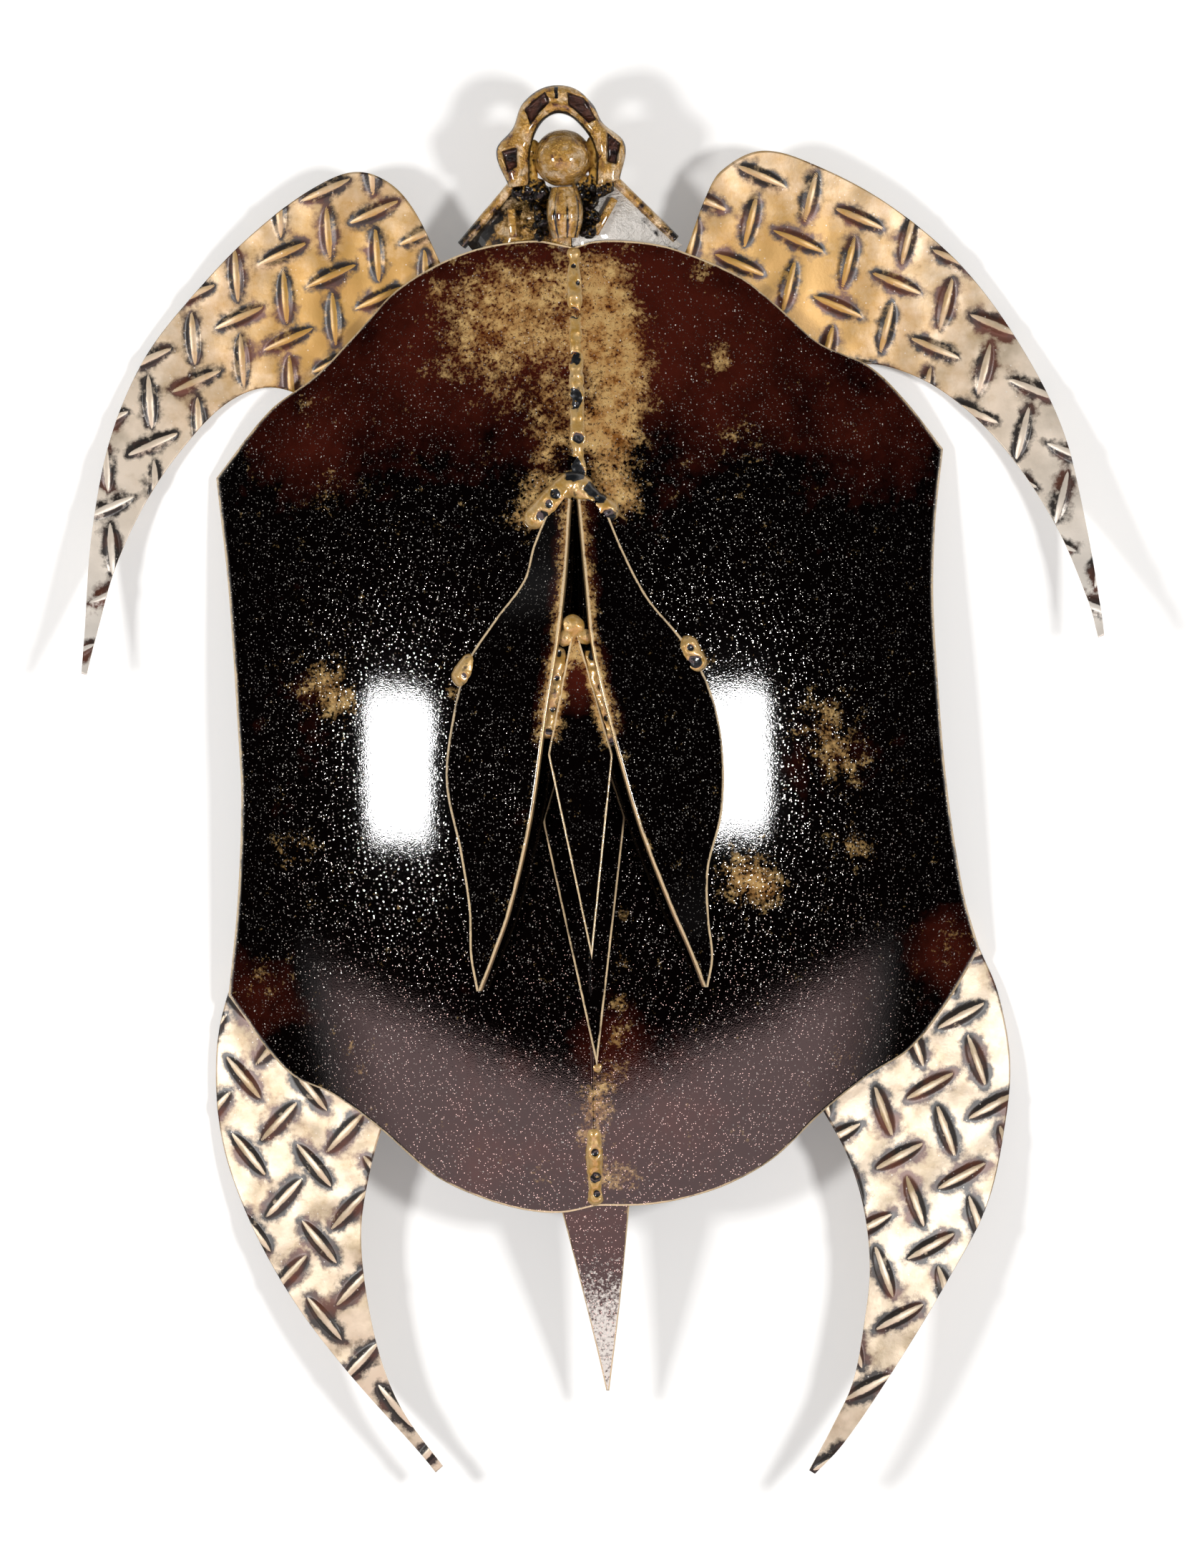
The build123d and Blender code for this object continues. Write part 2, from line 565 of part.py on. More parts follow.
parts["keel_seam_left"] = trimmed(bead_on_keel(SEAM_LEFT_PX, SEAM_BEAD_RADIUS), *SCUTES, parts["keel_front"])
parts["keel_seam_right"] = trimmed(bead_on_keel(SEAM_RIGHT_PX, SEAM_BEAD_RADIUS), *SCUTES, parts["keel_front"])
parts["keel_nose_weld"] = trimmed(bead_on_keel(NOSE_BEAD_PX, NOSE_BEAD_RADIUS), *SCUTES, parts["keel_front"])
parts["keel_tip_weld"] = off_shell(
    bead([raised(rear_placer(KEEL_REAR_PX[2]), 0)], FORK_BEAD_RADIUS), parts["keel_rear"])
TACK_PLACE = rear_placer(KEEL_TACK_PX)
tack_top = height_on_plane(TACK_PLACE, rear_origin, rear_normal)
tack_post = Pos(TACK_PLACE.X, TACK_PLACE.Y, tack_top) * Cylinder(
    TACK_BEAD_RADIUS, OVERRUN, align=(Align.CENTER, Align.CENTER, Align.MAX))
parts["keel_tack"] = off_shell(tack_post & Pos(0, 0, -KEEL_SHEET - WELD_SEAT) * under_plane(
    rear_origin, rear_normal))

# Tail plate, its top just under the shell's rear rim, and its weld
tail_placer = on_piece(TAIL_ENDS_PX[0], TAIL_LENGTH, TAIL_ENDS_PX)
tail_rim = tail_placer(TAIL_RIM_PX)
tail_origin = raised(tail_rim, -SHELL_SHEET - FIT_GAP)
tail_tilt = math.radians(TAIL_FALL_ANGLE)
tail_normal = Vector(0, -math.sin(tail_tilt), math.cos(tail_tilt))
parts["tail"] = largest(sheet_on_plane(outline_face(TAIL_PX, tail_placer), tail_origin, tail_normal, TAIL_SHEET))
weld_place = tail_placer(TAIL_WELD_PX)
weld_bottom = height_on_plane(weld_place, tail_origin, tail_normal) - TAIL_SHEET
below_weld = Pos(0, 0, WELD_SEAT) * under_plane(tail_origin, tail_normal)
parts["tail_weld"] = puddle(weld_place, weld_bottom, [ABOVE_UNDERSIDE[-1], below_weld])

# Head: ball in its forged cap, level with the shell's nose
head_placer = on_piece(NOSE_NOTCH_PX, HEAD_CAP_LENGTH, HEAD_ENDS_PX)
head_height = shell_height(NOSE) + BALL_LIFT
ball_place = head_placer(BALL_PX)
ball_centre = Vector(ball_place.X, ball_place.Y, head_height)
parts["head_ball"] = (Pos(ball_centre) * Sphere(BALL_DIAMETER / 2)).solid()
cap_face = outline_face(HEAD_CAP_PX, head_placer)
cap = Pos(0, 0, head_height) * extrude(cap_face, amount=HEAD_CAP_THICKNESS / 2, both=True)
for panel_px in HEAD_PANELS_PX:
    panel = Face(Wire.make_polygon([head_placer(point) for point in panel_px]))
    cap -= Pos(0, 0, head_height + HEAD_CAP_THICKNESS / 2 - HEAD_PANEL_DEPTH) * extrude(panel, amount=OVERRUN)
cap -= Pos(ball_centre) * Sphere(BALL_DIAMETER / 2 + FIT_GAP)
parts["head_cap"] = largest(cap)
cap_bottom = head_height - HEAD_CAP_THICKNESS / 2

# Neck: two sloping webs tucked under the rim, a barrel on their ridge, rods at their edges and struts on top
web_top = Vector(0, 0, shell_height(NOSE) - SHELL_SHEET - 2 * FIT_GAP)
web_tilt = math.radians(NECK_WEB_FALL_ANGLE)
WEB_NORMALS = {side: Vector(side * math.sin(web_tilt), 0, math.cos(web_tilt)) for side in (-1, 1)}


def neck_bar(ends_px, side):
    """Round rod from under the cap's foot down to the edge of the web at the shell's rim."""
    front, rear = [head_placer(point) for point in ends_px]
    radius = NECK_BAR_DIAMETER / 2
    rear_height = height_on_plane(rear, web_top, WEB_NORMALS[side]) - NECK_WEB_SHEET / 2
    start = Vector(front.X, front.Y, cap_bottom - radius - WELD_SEAT)
    run = Vector(rear.X, rear.Y, rear_height) - start
    return Plane(origin=start, z_dir=run) * Cylinder(
        radius, run.length, align=(Align.CENTER, Align.CENTER, Align.MIN))


def neck_web(corners_px, side, bar):
    """One sloping web of the neck, notched for the rod at its edge."""
    face = Face(Wire.make_polygon([head_placer(point) for point in corners_px]))
    return trimmed(sheet_on_plane(face, web_top, WEB_NORMALS[side], NECK_WEB_SHEET), bar)


def neck_strut(ends_px, side, bar):
    """Short square bar that lies on a web."""
    front, rear = [head_placer(point) for point in ends_px]
    ends = [Vector(end.X, end.Y, height_on_plane(end, web_top, WEB_NORMALS[side])) for end in (front, rear)]
    bed = Plane(origin=(ends[0] + ends[1]) / 2, x_dir=ends[1] - ends[0], z_dir=WEB_NORMALS[side])
    return trimmed(bed * Box((ends[1] - ends[0]).length, NECK_STRUT_WIDTH, NECK_STRUT_WIDTH,
                             align=(Align.CENTER, Align.CENTER, Align.MIN)), bar)


NECK = {
    "left": (-1, BAR_LEFT_PX, WEB_LEFT_PX, STRUT_LEFT_PX),
    "right": (1, BAR_RIGHT_PX, WEB_RIGHT_PX, STRUT_RIGHT_PX),
}
for hand, (side, bar_px, web_px, strut_px) in NECK.items():
    parts["neck_bar_" + hand] = neck_bar(bar_px, side).solid()
    parts["neck_web_" + hand] = neck_web(web_px, side, parts["neck_bar_" + hand])
    parts["neck_strut_" + hand] = neck_strut(strut_px, side, parts["neck_bar_" + hand])

barrel_rear = head_placer(BARREL_REAR_PX)
barrel_radius = NECK_BARREL_DIAMETER / 2
neck_radius = NECK_BARREL_NECK_DIAMETER / 2
barrel_length = ball_centre.Y - BALL_DIAMETER / 2 - FIT_GAP - barrel_rear.Y
stave = Spline((0, neck_radius), (barrel_length / 2, barrel_radius), (barrel_length, neck_radius))
barrel_side = Face(Wire([Line((0, 0), stave @ 0), stave, Line(stave @ 1, (barrel_length, 0)),
                         Line((barrel_length, 0), (0, 0))]))
barrel_start = Vector(barrel_rear.X, barrel_rear.Y, web_top.Z + barrel_radius)
barrel_plane = Plane(origin=barrel_start, x_dir=(0, 1, 0), z_dir=(0, 0, 1))
parts["neck_barrel"] = (barrel_plane * revolve(barrel_side, Axis.X, 360)).solid()


def neck_weld(lumps_px, side, hand):
    """Lumpy weld that fills the corner between the cap's foot, the ball, the barrel and the web."""
    lumps = Part()
    for point, share in zip(lumps_px, NECK_LUMP_SHARES):
        place = head_placer(point)
        height = height_on_plane(place, web_top, WEB_NORMALS[side]) + NECK_LUMP_RADIUS / 2
        lumps += Pos(place.X, place.Y, height) * Sphere(NECK_LUMP_RADIUS * share)
    neighbours = ["head_ball", "head_cap", "neck_barrel"]
    neighbours += [piece + hand for piece in ("neck_web_", "neck_bar_", "neck_strut_")]
    return trimmed(lumps, *[parts[name] for name in neighbours])


parts["neck_weld_left"] = neck_weld(NECK_LUMPS_LEFT_PX, -1, "left")
parts["neck_weld_right"] = neck_weld(NECK_LUMPS_RIGHT_PX, 1, "right")

# The origin is the middle of the figurine's footprint, at its lowest point
box = Compound(list(parts.values())).bounding_box(optimal=True)
home = Pos(-(box.min.X + box.max.X) / 2, -(box.min.Y + box.max.Y) / 2, -box.min.Z)
os.makedirs("parts", exist_ok=True)
for name, part in parts.items():
    export_step(home * part, f"parts/{name}.step")
print("size", box.size, "home", home.position)
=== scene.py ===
import math
import random

import bmesh
import bpy
import numpy as np
from bpy.props import FloatProperty, FloatVectorProperty, PointerProperty
from mathutils import Matrix, Vector, kdtree, noise
from mathutils.geometry import interpolate_bezier


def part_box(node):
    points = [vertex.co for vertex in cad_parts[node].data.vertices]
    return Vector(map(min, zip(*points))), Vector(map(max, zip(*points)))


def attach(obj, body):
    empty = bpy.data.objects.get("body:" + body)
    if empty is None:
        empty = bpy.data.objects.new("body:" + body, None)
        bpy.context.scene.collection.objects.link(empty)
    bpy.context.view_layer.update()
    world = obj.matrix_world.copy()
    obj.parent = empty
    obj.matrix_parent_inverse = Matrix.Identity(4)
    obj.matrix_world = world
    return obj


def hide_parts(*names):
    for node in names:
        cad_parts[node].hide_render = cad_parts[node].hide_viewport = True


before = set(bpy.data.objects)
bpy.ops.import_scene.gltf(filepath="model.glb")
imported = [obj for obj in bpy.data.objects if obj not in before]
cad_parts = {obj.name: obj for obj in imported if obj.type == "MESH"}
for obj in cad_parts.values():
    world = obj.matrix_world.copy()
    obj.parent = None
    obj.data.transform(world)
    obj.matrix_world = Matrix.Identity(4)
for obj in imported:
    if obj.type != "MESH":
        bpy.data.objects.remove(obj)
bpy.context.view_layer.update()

bl_info = {
    "name": "Welded steel sea turtle",
    "version": (1, 0, 0),
    "blender": (4, 5, 0),
    "location": "View3D > Sidebar > Turtle",
    "description": "Builds a sea turtle welded from lacquered sheet steel and tread plate",
    "category": "Add Mesh",
}

ROOT = "root"

# Photo points are pixels, counted right and down, of the picture from above
NOSE_PX = Vector((802, 345))
TAIL_PX = Vector((833, 1685))
RIDGE_PX = TAIL_PX - NOSE_PX
RIDGE_MIDDLE_PX = (NOSE_PX + TAIL_PX) / 2
SHELL_WIDTH_PX = 1060

# Sizes of the shell, in metres, as the solids have them
SHELL_LENGTH = 0.419
SHELL_WIDTH = 0.331
RIDGE_RADIUS = 0.900
CROWN_SETBACK = 0.024
LEFT_ARCH_RADIUS = 0.420
RIGHT_ARCH_RADIUS = 0.450
CREASE = math.radians(7)
RIM_CLEARANCE = 0.0044

# The middle of the ridge in plan, at the height of the crown of the back, in the shared frame
RIDGE_MIDDLE_Y = 0.024576
SHELL_HIGH = Vector(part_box("shell_left")[1])
HOME = Vector((SHELL_HIGH.x, RIDGE_MIDDLE_Y, SHELL_HIGH.z))

SHELL_LEFT_PX = [
    [(802, 345), (744, 335), (650, 351), (560, 398), (500, 460), (440, 522), (374, 571), (298, 665)],
    [(298, 665), (316, 820), (331, 1034), (335, 1120), (329, 1266), (316, 1394)],
    [(316, 1394), (399, 1499), (469, 1534), (531, 1579), (603, 1641), (655, 1668), (726, 1690), (785, 1695),
     (833, 1685)],
]
SHELL_RIGHT_PX = [
    [(802, 345), (834, 336), (887, 336), (941, 345), (1034, 383), (1086, 423), (1148, 477), (1218, 508),
     (1270, 557), (1323, 624)],
    [(1323, 624), (1312, 720), (1308, 817), (1311, 900), (1326, 1088), (1351, 1249), (1374, 1328)],
    [(1374, 1328), (1325, 1408), (1274, 1469), (1217, 1504), (1154, 1553), (1084, 1619), (1021, 1655),
     (959, 1675), (905, 1684), (833, 1685)],
]

# Each flipper: its outer and inner edge from the hidden root to the tip, the two places where the shell's rim
# crosses it, the ends of its length, one tread lug with the steps to its two neighbours, the curve of its
# bend, its sideways fall in degrees, and how strongly its sloped root is painted golden and its outer part
# painted pale, both painted reflections
FLIPPERS = {
    "front_flipper_left": {
        "outer": [(640, 430), (616, 367), (563, 270), (505, 237), (443, 255), (354, 319), (274, 399),
                  (199, 494), (150, 608), (124, 747), (115, 896), (112, 942)],
        "inner": [(480, 580), (425, 552), (374, 538), (324, 553), (274, 596), (209, 683), (160, 785),
                  (130, 896), (119, 944)],
        "rim": [(616, 367), (393, 541)], "ends": [(505, 237), (112, 942)], "length": 0.252,
        "tread": [(461, 382), (65, -29), (4, 60)], "curl": 1 / 0.230, "fall": 0, "gilt": 0.8,
    },
    "front_flipper_right": {
        "outer": [(925, 430), (961, 345), (987, 274), (1010, 235), (1067, 207), (1143, 227), (1247, 282),
                  (1351, 369), (1431, 477), (1490, 595), (1521, 723), (1543, 860), (1546, 889)],
        "inner": [(1130, 545), (1190, 510), (1242, 508), (1322, 543), (1405, 619), (1478, 728), (1525, 841),
                  (1538, 892)],
        "rim": [(961, 345), (1216, 507)], "ends": [(1067, 207), (1546, 889)], "length": 0.260,
        "tread": [(1174, 425), (69, 29), (-15, 62)], "curl": 1 / 0.230, "fall": 0, "gilt": 0.8,
    },
    "rear_flipper_left": {
        "outer": [(345, 1335), (314, 1394), (298, 1484), (307, 1599), (345, 1708), (404, 1815), (479, 1914),
                  (588, 2036), (607, 2060)],
        "inner": [(560, 1520), (531, 1581), (506, 1688), (504, 1758), (519, 1857), (541, 1932), (569, 1987),
                  (617, 2051)],
        "rim": [(316, 1394), (531, 1581)], "ends": [(316, 1394), (607, 2060)], "length": 0.228,
        "tread": [(437, 1631), (50, 61), (43, -46)], "curl": -1 / 0.475, "fall": 12, "gilt": 0.15,
    },
    "rear_flipper_right": {
        "outer": [(1350, 1275), (1376, 1331), (1401, 1392), (1417, 1484), (1410, 1571), (1383, 1688),
                  (1319, 1806), (1253, 1913), (1182, 2017), (1141, 2061)],
        "inner": [(1120, 1500), (1154, 1556), (1187, 1617), (1210, 1693), (1218, 1775), (1210, 1851),
                  (1194, 1933), (1166, 1994), (1133, 2056)],
        "rim": [(1374, 1331), (1154, 1556)], "ends": [(1376, 1331), (1141, 2061)], "length": 0.240,
        "tread": [(1304, 1520), (66, -35), (22, 63)], "curl": -1 / 0.475, "fall": 3, "gilt": 0.1,
    },
}

# Leaf scutes from the front to the tip, and how far each stands off the shell along its inner edge
SCUTES = {
    "scute_left": {
        "outer": [(778, 693), (748, 764), (734, 814), (690, 874), (655, 929), (632, 1017), (625, 1100),
                  (644, 1192), (657, 1275), (659, 1340), (668, 1390)],
        "inner": [(799, 700), (792, 808), (781, 901), (765, 1000), (744, 1148), (715, 1274), (690, 1346),
                  (673, 1390)],
        "ends": [(789, 697), (670, 1390)],
    },
    "scute_right": {
        "outer": [(841, 700), (869, 770), (904, 836), (954, 896), (987, 956), (1005, 1033), (1005, 1126),
                  (986, 1203), (986, 1269), (992, 1325), (985, 1366)],
        "inner": [(808, 700), (818, 808), (828, 901), (852, 1005), (890, 1140), (935, 1258), (960, 1315),
                  (980, 1366)],
        "ends": [(824, 700), (982, 1366)],
    },
}
SCUTE_LENGTH = 0.218
SCUTE_RISE = 0.015
SCUTE_TIP_LIFT = 0.006
SCUTE_RISE_SHARES = [0.2, 0.55, 0.78, 0.92, 0.88, 0.70, 0.56, 0.45]
SCUTE_LIFT_FROM_SHARE = 0.4

# Keel plates: nose, left corner, tip, right corner, length, and the lifts of nose and tip off the shell
KEELS = {
    "keel_front": ([(803, 870), (767, 1055), (828, 1340), (857, 1055)], 0.147, 0.009, 0.017),
    "keel_rear": ([(815, 960), (760, 1150), (835, 1491), (874, 1143)], 0.166, 0.005, 0.002),
}
FORK_PX = [(737, 737), (800, 676), (863, 726)]
TACKS_PX = {
    "scute_tack_left": [(640, 960), (662, 915)],
    "scute_tack_right": [(955, 890), (980, 940)],
}
SEAMS_PX = {
    "keel_seam_left": [(783, 905), (764, 1033)],
    "keel_seam_right": [(826, 905), (859, 1044)],
}
FRONT_BEAD_END_PX = (802, 680)
REAR_BEAD_START_PX = (831, 1573)
NOSE_BEAD_PX = (802, 877)
NOSE_SIDE_BEADS_PX = [(791, 893), (817, 891)]

# Weld beads: radius, height of the middle over the sheet, and how deep it is then sunk; those along the ridge
# are shares of their set radius
RIDGE_BEAD_SWELL = 1.4
RIDGE_BEAD_SINK_SHARE = 0.95
FORK_BEAD_RADIUS = 0.0052
FORK_BEAD_LIFT = 0.0024
FORK_BEAD_SINK = 0.0036
TACK_RADIUS = 0.0042
TACK_LIFT = 0.0022
TACK_SINK = 0.002
SEAM_RADIUS = 0.0042
SEAM_SINK = 0.0027
NOSE_BEAD_RADIUS = 0.0052
NOSE_SIDE_BEAD_RADIUS = 0.0036
TIP_BEAD_RADIUS = 0.0024
TIP_BEAD_LIFT = -0.0008

TAIL_EDGES_PX = [
    [(772, 1640), (800, 1745), (833, 1878), (848, 1944)],
    [(884, 1640), (874, 1748), (866, 1828), (852, 1944)],
]
TAIL_ENDS_PX = [(832, 1685), (850, 1944)]
TAIL_RIM_PX = (776, 1690)
TAIL_LENGTH = 0.082
TAIL_FALL = math.radians(12)

# Head and neck: outlines, sizes and places; the barrel's grooves are degrees round from its top
HEAD_OUTER_PX = [(712, 262), (694, 211), (717, 179), (731, 144), (763, 121), (801, 122), (829, 145),
                 (843, 171), (874, 201), (867, 251)]
HEAD_INNER_PX = [(741, 258), (743, 205), (757, 172), (779, 158), (804, 167), (831, 205), (834, 258)]
HEAD_ENDS_PX = [(783, 120), (787, 261)]
HEAD_LENGTH = 0.044
HEAD_THICKNESS = 0.014
BALL_PX = (787, 220)
BALL_LIFT = 0.002
BARREL_REAR_PX = (791, 333)
BARREL_GROOVES = (-37, 9, 53, 100, 180, -100)
WEB_FALL = math.radians(12)
# On each side, bright paints the web near white as a painted reflection of a softbox (the right web), and the
# extra darkening number adds painted shade (most on the left web)
NECK = {
    "left": {
        "side": -1, "web": [(797, 264), (712, 268), (649, 334), (690, 385), (800, 385)],
        "bar": [(716, 257), (645, 340)], "strut": [(716, 290), (720, 330)],
        "lumps": [(731, 268), (748, 275), (755, 290), (758, 308), (760, 322), (743, 262), (752, 258),
                  (762, 266), (743, 252), (742, 243), (742, 233), (743, 223), (743, 213), (745, 203)],
        "bright": 0.0, "soot": 0.25,
    },
    "right": {
        "side": 1, "web": [(799, 264), (864, 260), (955, 340), (905, 385), (802, 385)],
        "bar": [(860, 250), (945, 332)], "strut": [(858, 276), (830, 326)],
        "lumps": [(846, 258), (832, 268), (824, 284), (826, 300), (824, 318), (835, 258), (824, 256),
                  (814, 265), (833, 248), (834, 239), (833, 229), (833, 219), (832, 209), (830, 198)],
        "bright": 1.0, "soot": -0.1,
    },
}


def ridge_frame(point):
    """A photo point as pixels right of the ridge and forward of its middle."""
    offset = Vector(point) - RIDGE_MIDDLE_PX
    rear = RIDGE_PX.normalized()
    return Vector((offset.dot(Vector((rear.y, -rear.x))), -offset.dot(rear)))


def on_shell(point):
    """Plan position, from the crown, of a photo point that belongs to the shell."""
    pixels = ridge_frame(point)
    return Vector((pixels.x * SHELL_WIDTH / SHELL_WIDTH_PX, pixels.y * SHELL_LENGTH / RIDGE_PX.length))


def on_piece(anchor, length, ends):
    """Placing function of a piece that keeps its own length and sits on the shell at its anchor."""
    scale = length / (Vector(ends[1]) - Vector(ends[0])).length
    return lambda point: on_shell(anchor) + (ridge_frame(point) - ridge_frame(anchor)) * scale


def shell_height(x, y):
    """Height of the shell's outer face over a plan position, with the crown at zero."""
    radius = np.where(np.asarray(x) < 0, LEFT_ARCH_RADIUS, RIGHT_ARCH_RADIUS)
    slope_sine = math.sin(CREASE) + np.abs(x) / radius
    swing = RIDGE_RADIUS - radius * (math.cos(CREASE) - np.sqrt(1 - slope_sine ** 2))
    return np.sqrt(swing ** 2 - (np.asarray(y) + CROWN_SETBACK) ** 2) - RIDGE_RADIUS


def raised(place, lift):
    """Point above a plan position, lifted off the shell's outer face."""
    return Vector((place.x, place.y, float(shell_height(place.x, place.y)) + lift))


def smooth_line(points, count):
    """Evenly spaced points along a smooth curve through a few given ones."""
    points = [Vector(point).to_3d() for point in points]
    tangents = []
    for index in range(len(points)):
        ahead = points[min(index + 1, len(points) - 1)]
        behind = points[max(index - 1, 0)]
        tangents.append((ahead - behind).normalized())
    dense = [points[0]]
    for index, (start, end) in enumerate(zip(points, points[1:])):
        reach = (end - start).length / 3
        dense += interpolate_bezier(
            start, start + tangents[index] * reach, end - tangents[index + 1] * reach, end, 24)[1:]
    places = np.array(dense)
    lengths = np.concatenate([[0], np.cumsum(np.linalg.norm(np.diff(places, axis=0), axis=1))])
    stations = np.linspace(0, lengths[-1], count)
    columns = [np.interp(stations, lengths, axis) for axis in places.T]
    return [Vector(row) for row in np.stack(columns, axis=1)]


def joined_line(runs, count):
    """Points along several smooth curves that meet in corners, shared out by length."""
    spans = [sum((Vector(b) - Vector(a)).length for a, b in zip(run, run[1:])) for run in runs]
    line = smooth_line(runs[0], 2)[:1]
    for run, span in zip(runs, spans):
        line += smooth_line(run, max(2, round(count * span / sum(spans))))[1:]
    return line


def ruled_sheet(bm, first, second, rungs):
    """Fine grid of faces between two edge lines of equally many points."""
    chains = []
    for line in (first, second):
        verts = [bm.verts.new(point) for point in line]
        chains += [bm.edges.new(pair) for pair in zip(verts, verts[1:])]
    made = bmesh.ops.bridge_loops(bm, edges=chains)
    crossing = [edge for edge in made["edges"] if edge not in chains]
    bmesh.ops.subdivide_edges(bm, edges=crossing, cuts=rungs, use_grid_fill=True)
    bmesh.ops.remove_doubles(bm, verts=bm.verts, dist=0.00002)


def face_up(bm):
    """Turn the faces of an open sheet to look upwards."""
    bmesh.ops.recalc_face_normals(bm, faces=bm.faces)
    if sum(face.normal.z * face.calc_area() for face in bm.faces) < 0:
        bmesh.ops.reverse_faces(bm, faces=bm.faces)


def rod(bm, path, radii, sides):
    """Round bar through a path of points, with its own radius at each, and closed ends."""
    rings = []
    for index, (point, radius) in enumerate(zip(path, radii)):
        heading = path[min(index + 1, len(path) - 1)] - path[max(index - 1, 0)]
        seat = Matrix.Translation(point) @ heading.to_track_quat("Z", "Y").to_matrix().to_4x4()
        ends = index in (0, len(path) - 1)
        ring = bmesh.ops.create_circle(bm, cap_ends=ends, segments=sides, radius=radius, matrix=seat)["verts"]
        rings.append([edge for edge in {edge for vert in ring for edge in vert.link_edges} if
                      all(vert in ring for vert in edge.verts)])
    for near, far in zip(rings, rings[1:]):
        bmesh.ops.bridge_loops(bm, edges=near + far)
    bmesh.ops.recalc_face_normals(bm, faces=bm.faces)


def mesh_arrays(mesh):
    """Vertex places of a mesh as an array."""
    places = np.empty(len(mesh.vertices) * 3, np.float32)
    mesh.vertices.foreach_get("co", places)
    return places.reshape(-1, 3).astype(float)


def set_places(mesh, places):
    """Write an array of vertex places back to a mesh."""
    mesh.vertices.foreach_set("co", places.astype(np.float32).ravel())
    mesh.update()


def mark(mesh, name, values):
    """Store one number per vertex, for a material to read."""
    layer = mesh.attributes.new(name, "FLOAT", "POINT")
    layer.data.foreach_set("value", np.asarray(values, np.float32))


def finish_piece(bm, name, materials, shape=None, marks=None):
    """Make an object of a finished bmesh, in the shared frame, in place of the solid of the same name."""
    mesh = bpy.data.meshes.new(name + "_look")
    for face in bm.faces:
        face.smooth = True
    bm.to_mesh(mesh)
    bm.free()
    places = mesh_arrays(mesh)
    if shape:
        places = shape(places)
    for label, values in (marks(places) if marks else {}).items():
        mark(mesh, label, values)
    set_places(mesh, places + np.array(HOME))
    for material in materials:
        mesh.materials.append(bpy.data.materials[material])
    piece = bpy.data.objects.new(name + "_look", mesh)
    bpy.context.scene.collection.objects.link(piece)
    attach(piece, ROOT)
    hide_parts(name)
    return piece


def solid_sheet(bm):
    """Close a level grid into a solid: its underside waits a metre lower, its rim has a second finish."""
    top = list(bm.faces)
    under = bmesh.ops.extrude_face_region(bm, geom=top, use_keep_orig=True)["geom"]
    verts = [item for item in under if isinstance(item, bmesh.types.BMVert)]
    faces = {item for item in under if isinstance(item, bmesh.types.BMFace)}
    bmesh.ops.translate(bm, vec=(0, 0, -1), verts=verts)
    bmesh.ops.reverse_faces(bm, faces=[face for face in faces if face.normal.z > 0])
    for face in bm.faces:
        face.material_index = 0 if face in faces or face in top else 1
    bmesh.ops.recalc_face_normals(bm, faces=bm.faces)


def thicken(piece, thickness, offset, rim_slot):
    """Give a sheet its thickness and its own finish on the cut edge."""
    solid = piece.modifiers.new("sheet", "SOLIDIFY")
    solid.thickness = thickness
    solid.offset = offset
    solid.use_even_offset = True
    solid.material_offset_rim = rim_slot


def ripples(points, size, seed):
    """Smooth random numbers, one for each point, that change over about the given size."""
    return np.array([noise.noise(Vector(point) / size + Vector((seed * 7.3, seed * 3.1, seed * 5.7)))
                     for point in points])


def distances(places, line):
    """Distance of each place to the nearest point of a line, measured in plan."""
    tree = kdtree.KDTree(len(line))
    for index, point in enumerate(line):
        tree.insert((point[0], point[1], 0), index)
    tree.balance()
    return np.array([tree.find((x, y, 0))[2] for x, y, _ in places])


def patches(places, spots):
    """Strength, at each place, of soft round patches: photo point, size in photo pixels and weight."""
    total = np.zeros(len(places))
    for point, spread, weight in spots:
        centre = on_shell(point)
        size = spread * SHELL_WIDTH / SHELL_WIDTH_PX
        away = (places[:, 0] - centre.x) ** 2 + (places[:, 1] - centre.y) ** 2
        total += weight * np.exp(-away / size ** 2)
    return np.clip(total, 0, 1)


def linear(code):
    """Linear colour, with full cover, of an sRGB hex value."""
    channels = [int(code[place:place + 2], 16) / 255 for place in (1, 3, 5)]
    return (*[c / 12.92 if c <= 0.04045 else ((c + 0.055) / 1.055) ** 2.4 for c in channels], 1)


def feed(tree, node, feeds):
    """Feed a node's sockets with plain values, other nodes' outputs, or the first output in use of a node."""
    for socket, value in feeds.items():
        if isinstance(value, bpy.types.Node):
            value = next(output for output in value.outputs if output.enabled)
        if isinstance(value, bpy.types.NodeSocket):
            tree.links.new(value, node.inputs[socket])
        else:
            node.inputs[socket].default_value = value


def add_node(tree, kind, feeds=None, **settings):
    """Add one shader node with its settings and feeds."""
    node = tree.nodes.new("ShaderNode" + kind)
    for name, value in settings.items():
        setattr(node, name, value)
    feed(tree, node, feeds or {})
    return node


def new_material(name, *marks):
    """Start a material: its node tree, main shader, the places on the object and the marks of its mesh."""
    material = bpy.data.materials.new(name)
    material.use_nodes = True
    tree = material.node_tree
    place = add_node(tree, "TexCoord").outputs["Object"]
    read = [add_node(tree, "Attribute", attribute_name=mark).outputs["Fac"] for mark in marks]
    return tree, tree.nodes["Principled BSDF"], place, *read


def size_setting(label, description, metres):
    """Size of a piece, as a setting in the sidebar."""
    return FloatProperty(name=label, description=description, default=metres, unit="LENGTH")


def colour_setting(label, description, code):
    """Colour of a finish, as a setting in the sidebar."""
    return FloatVectorProperty(name=label, description=description, subtype="COLOR", size=4, min=0, max=1,
                               default=linear(code))


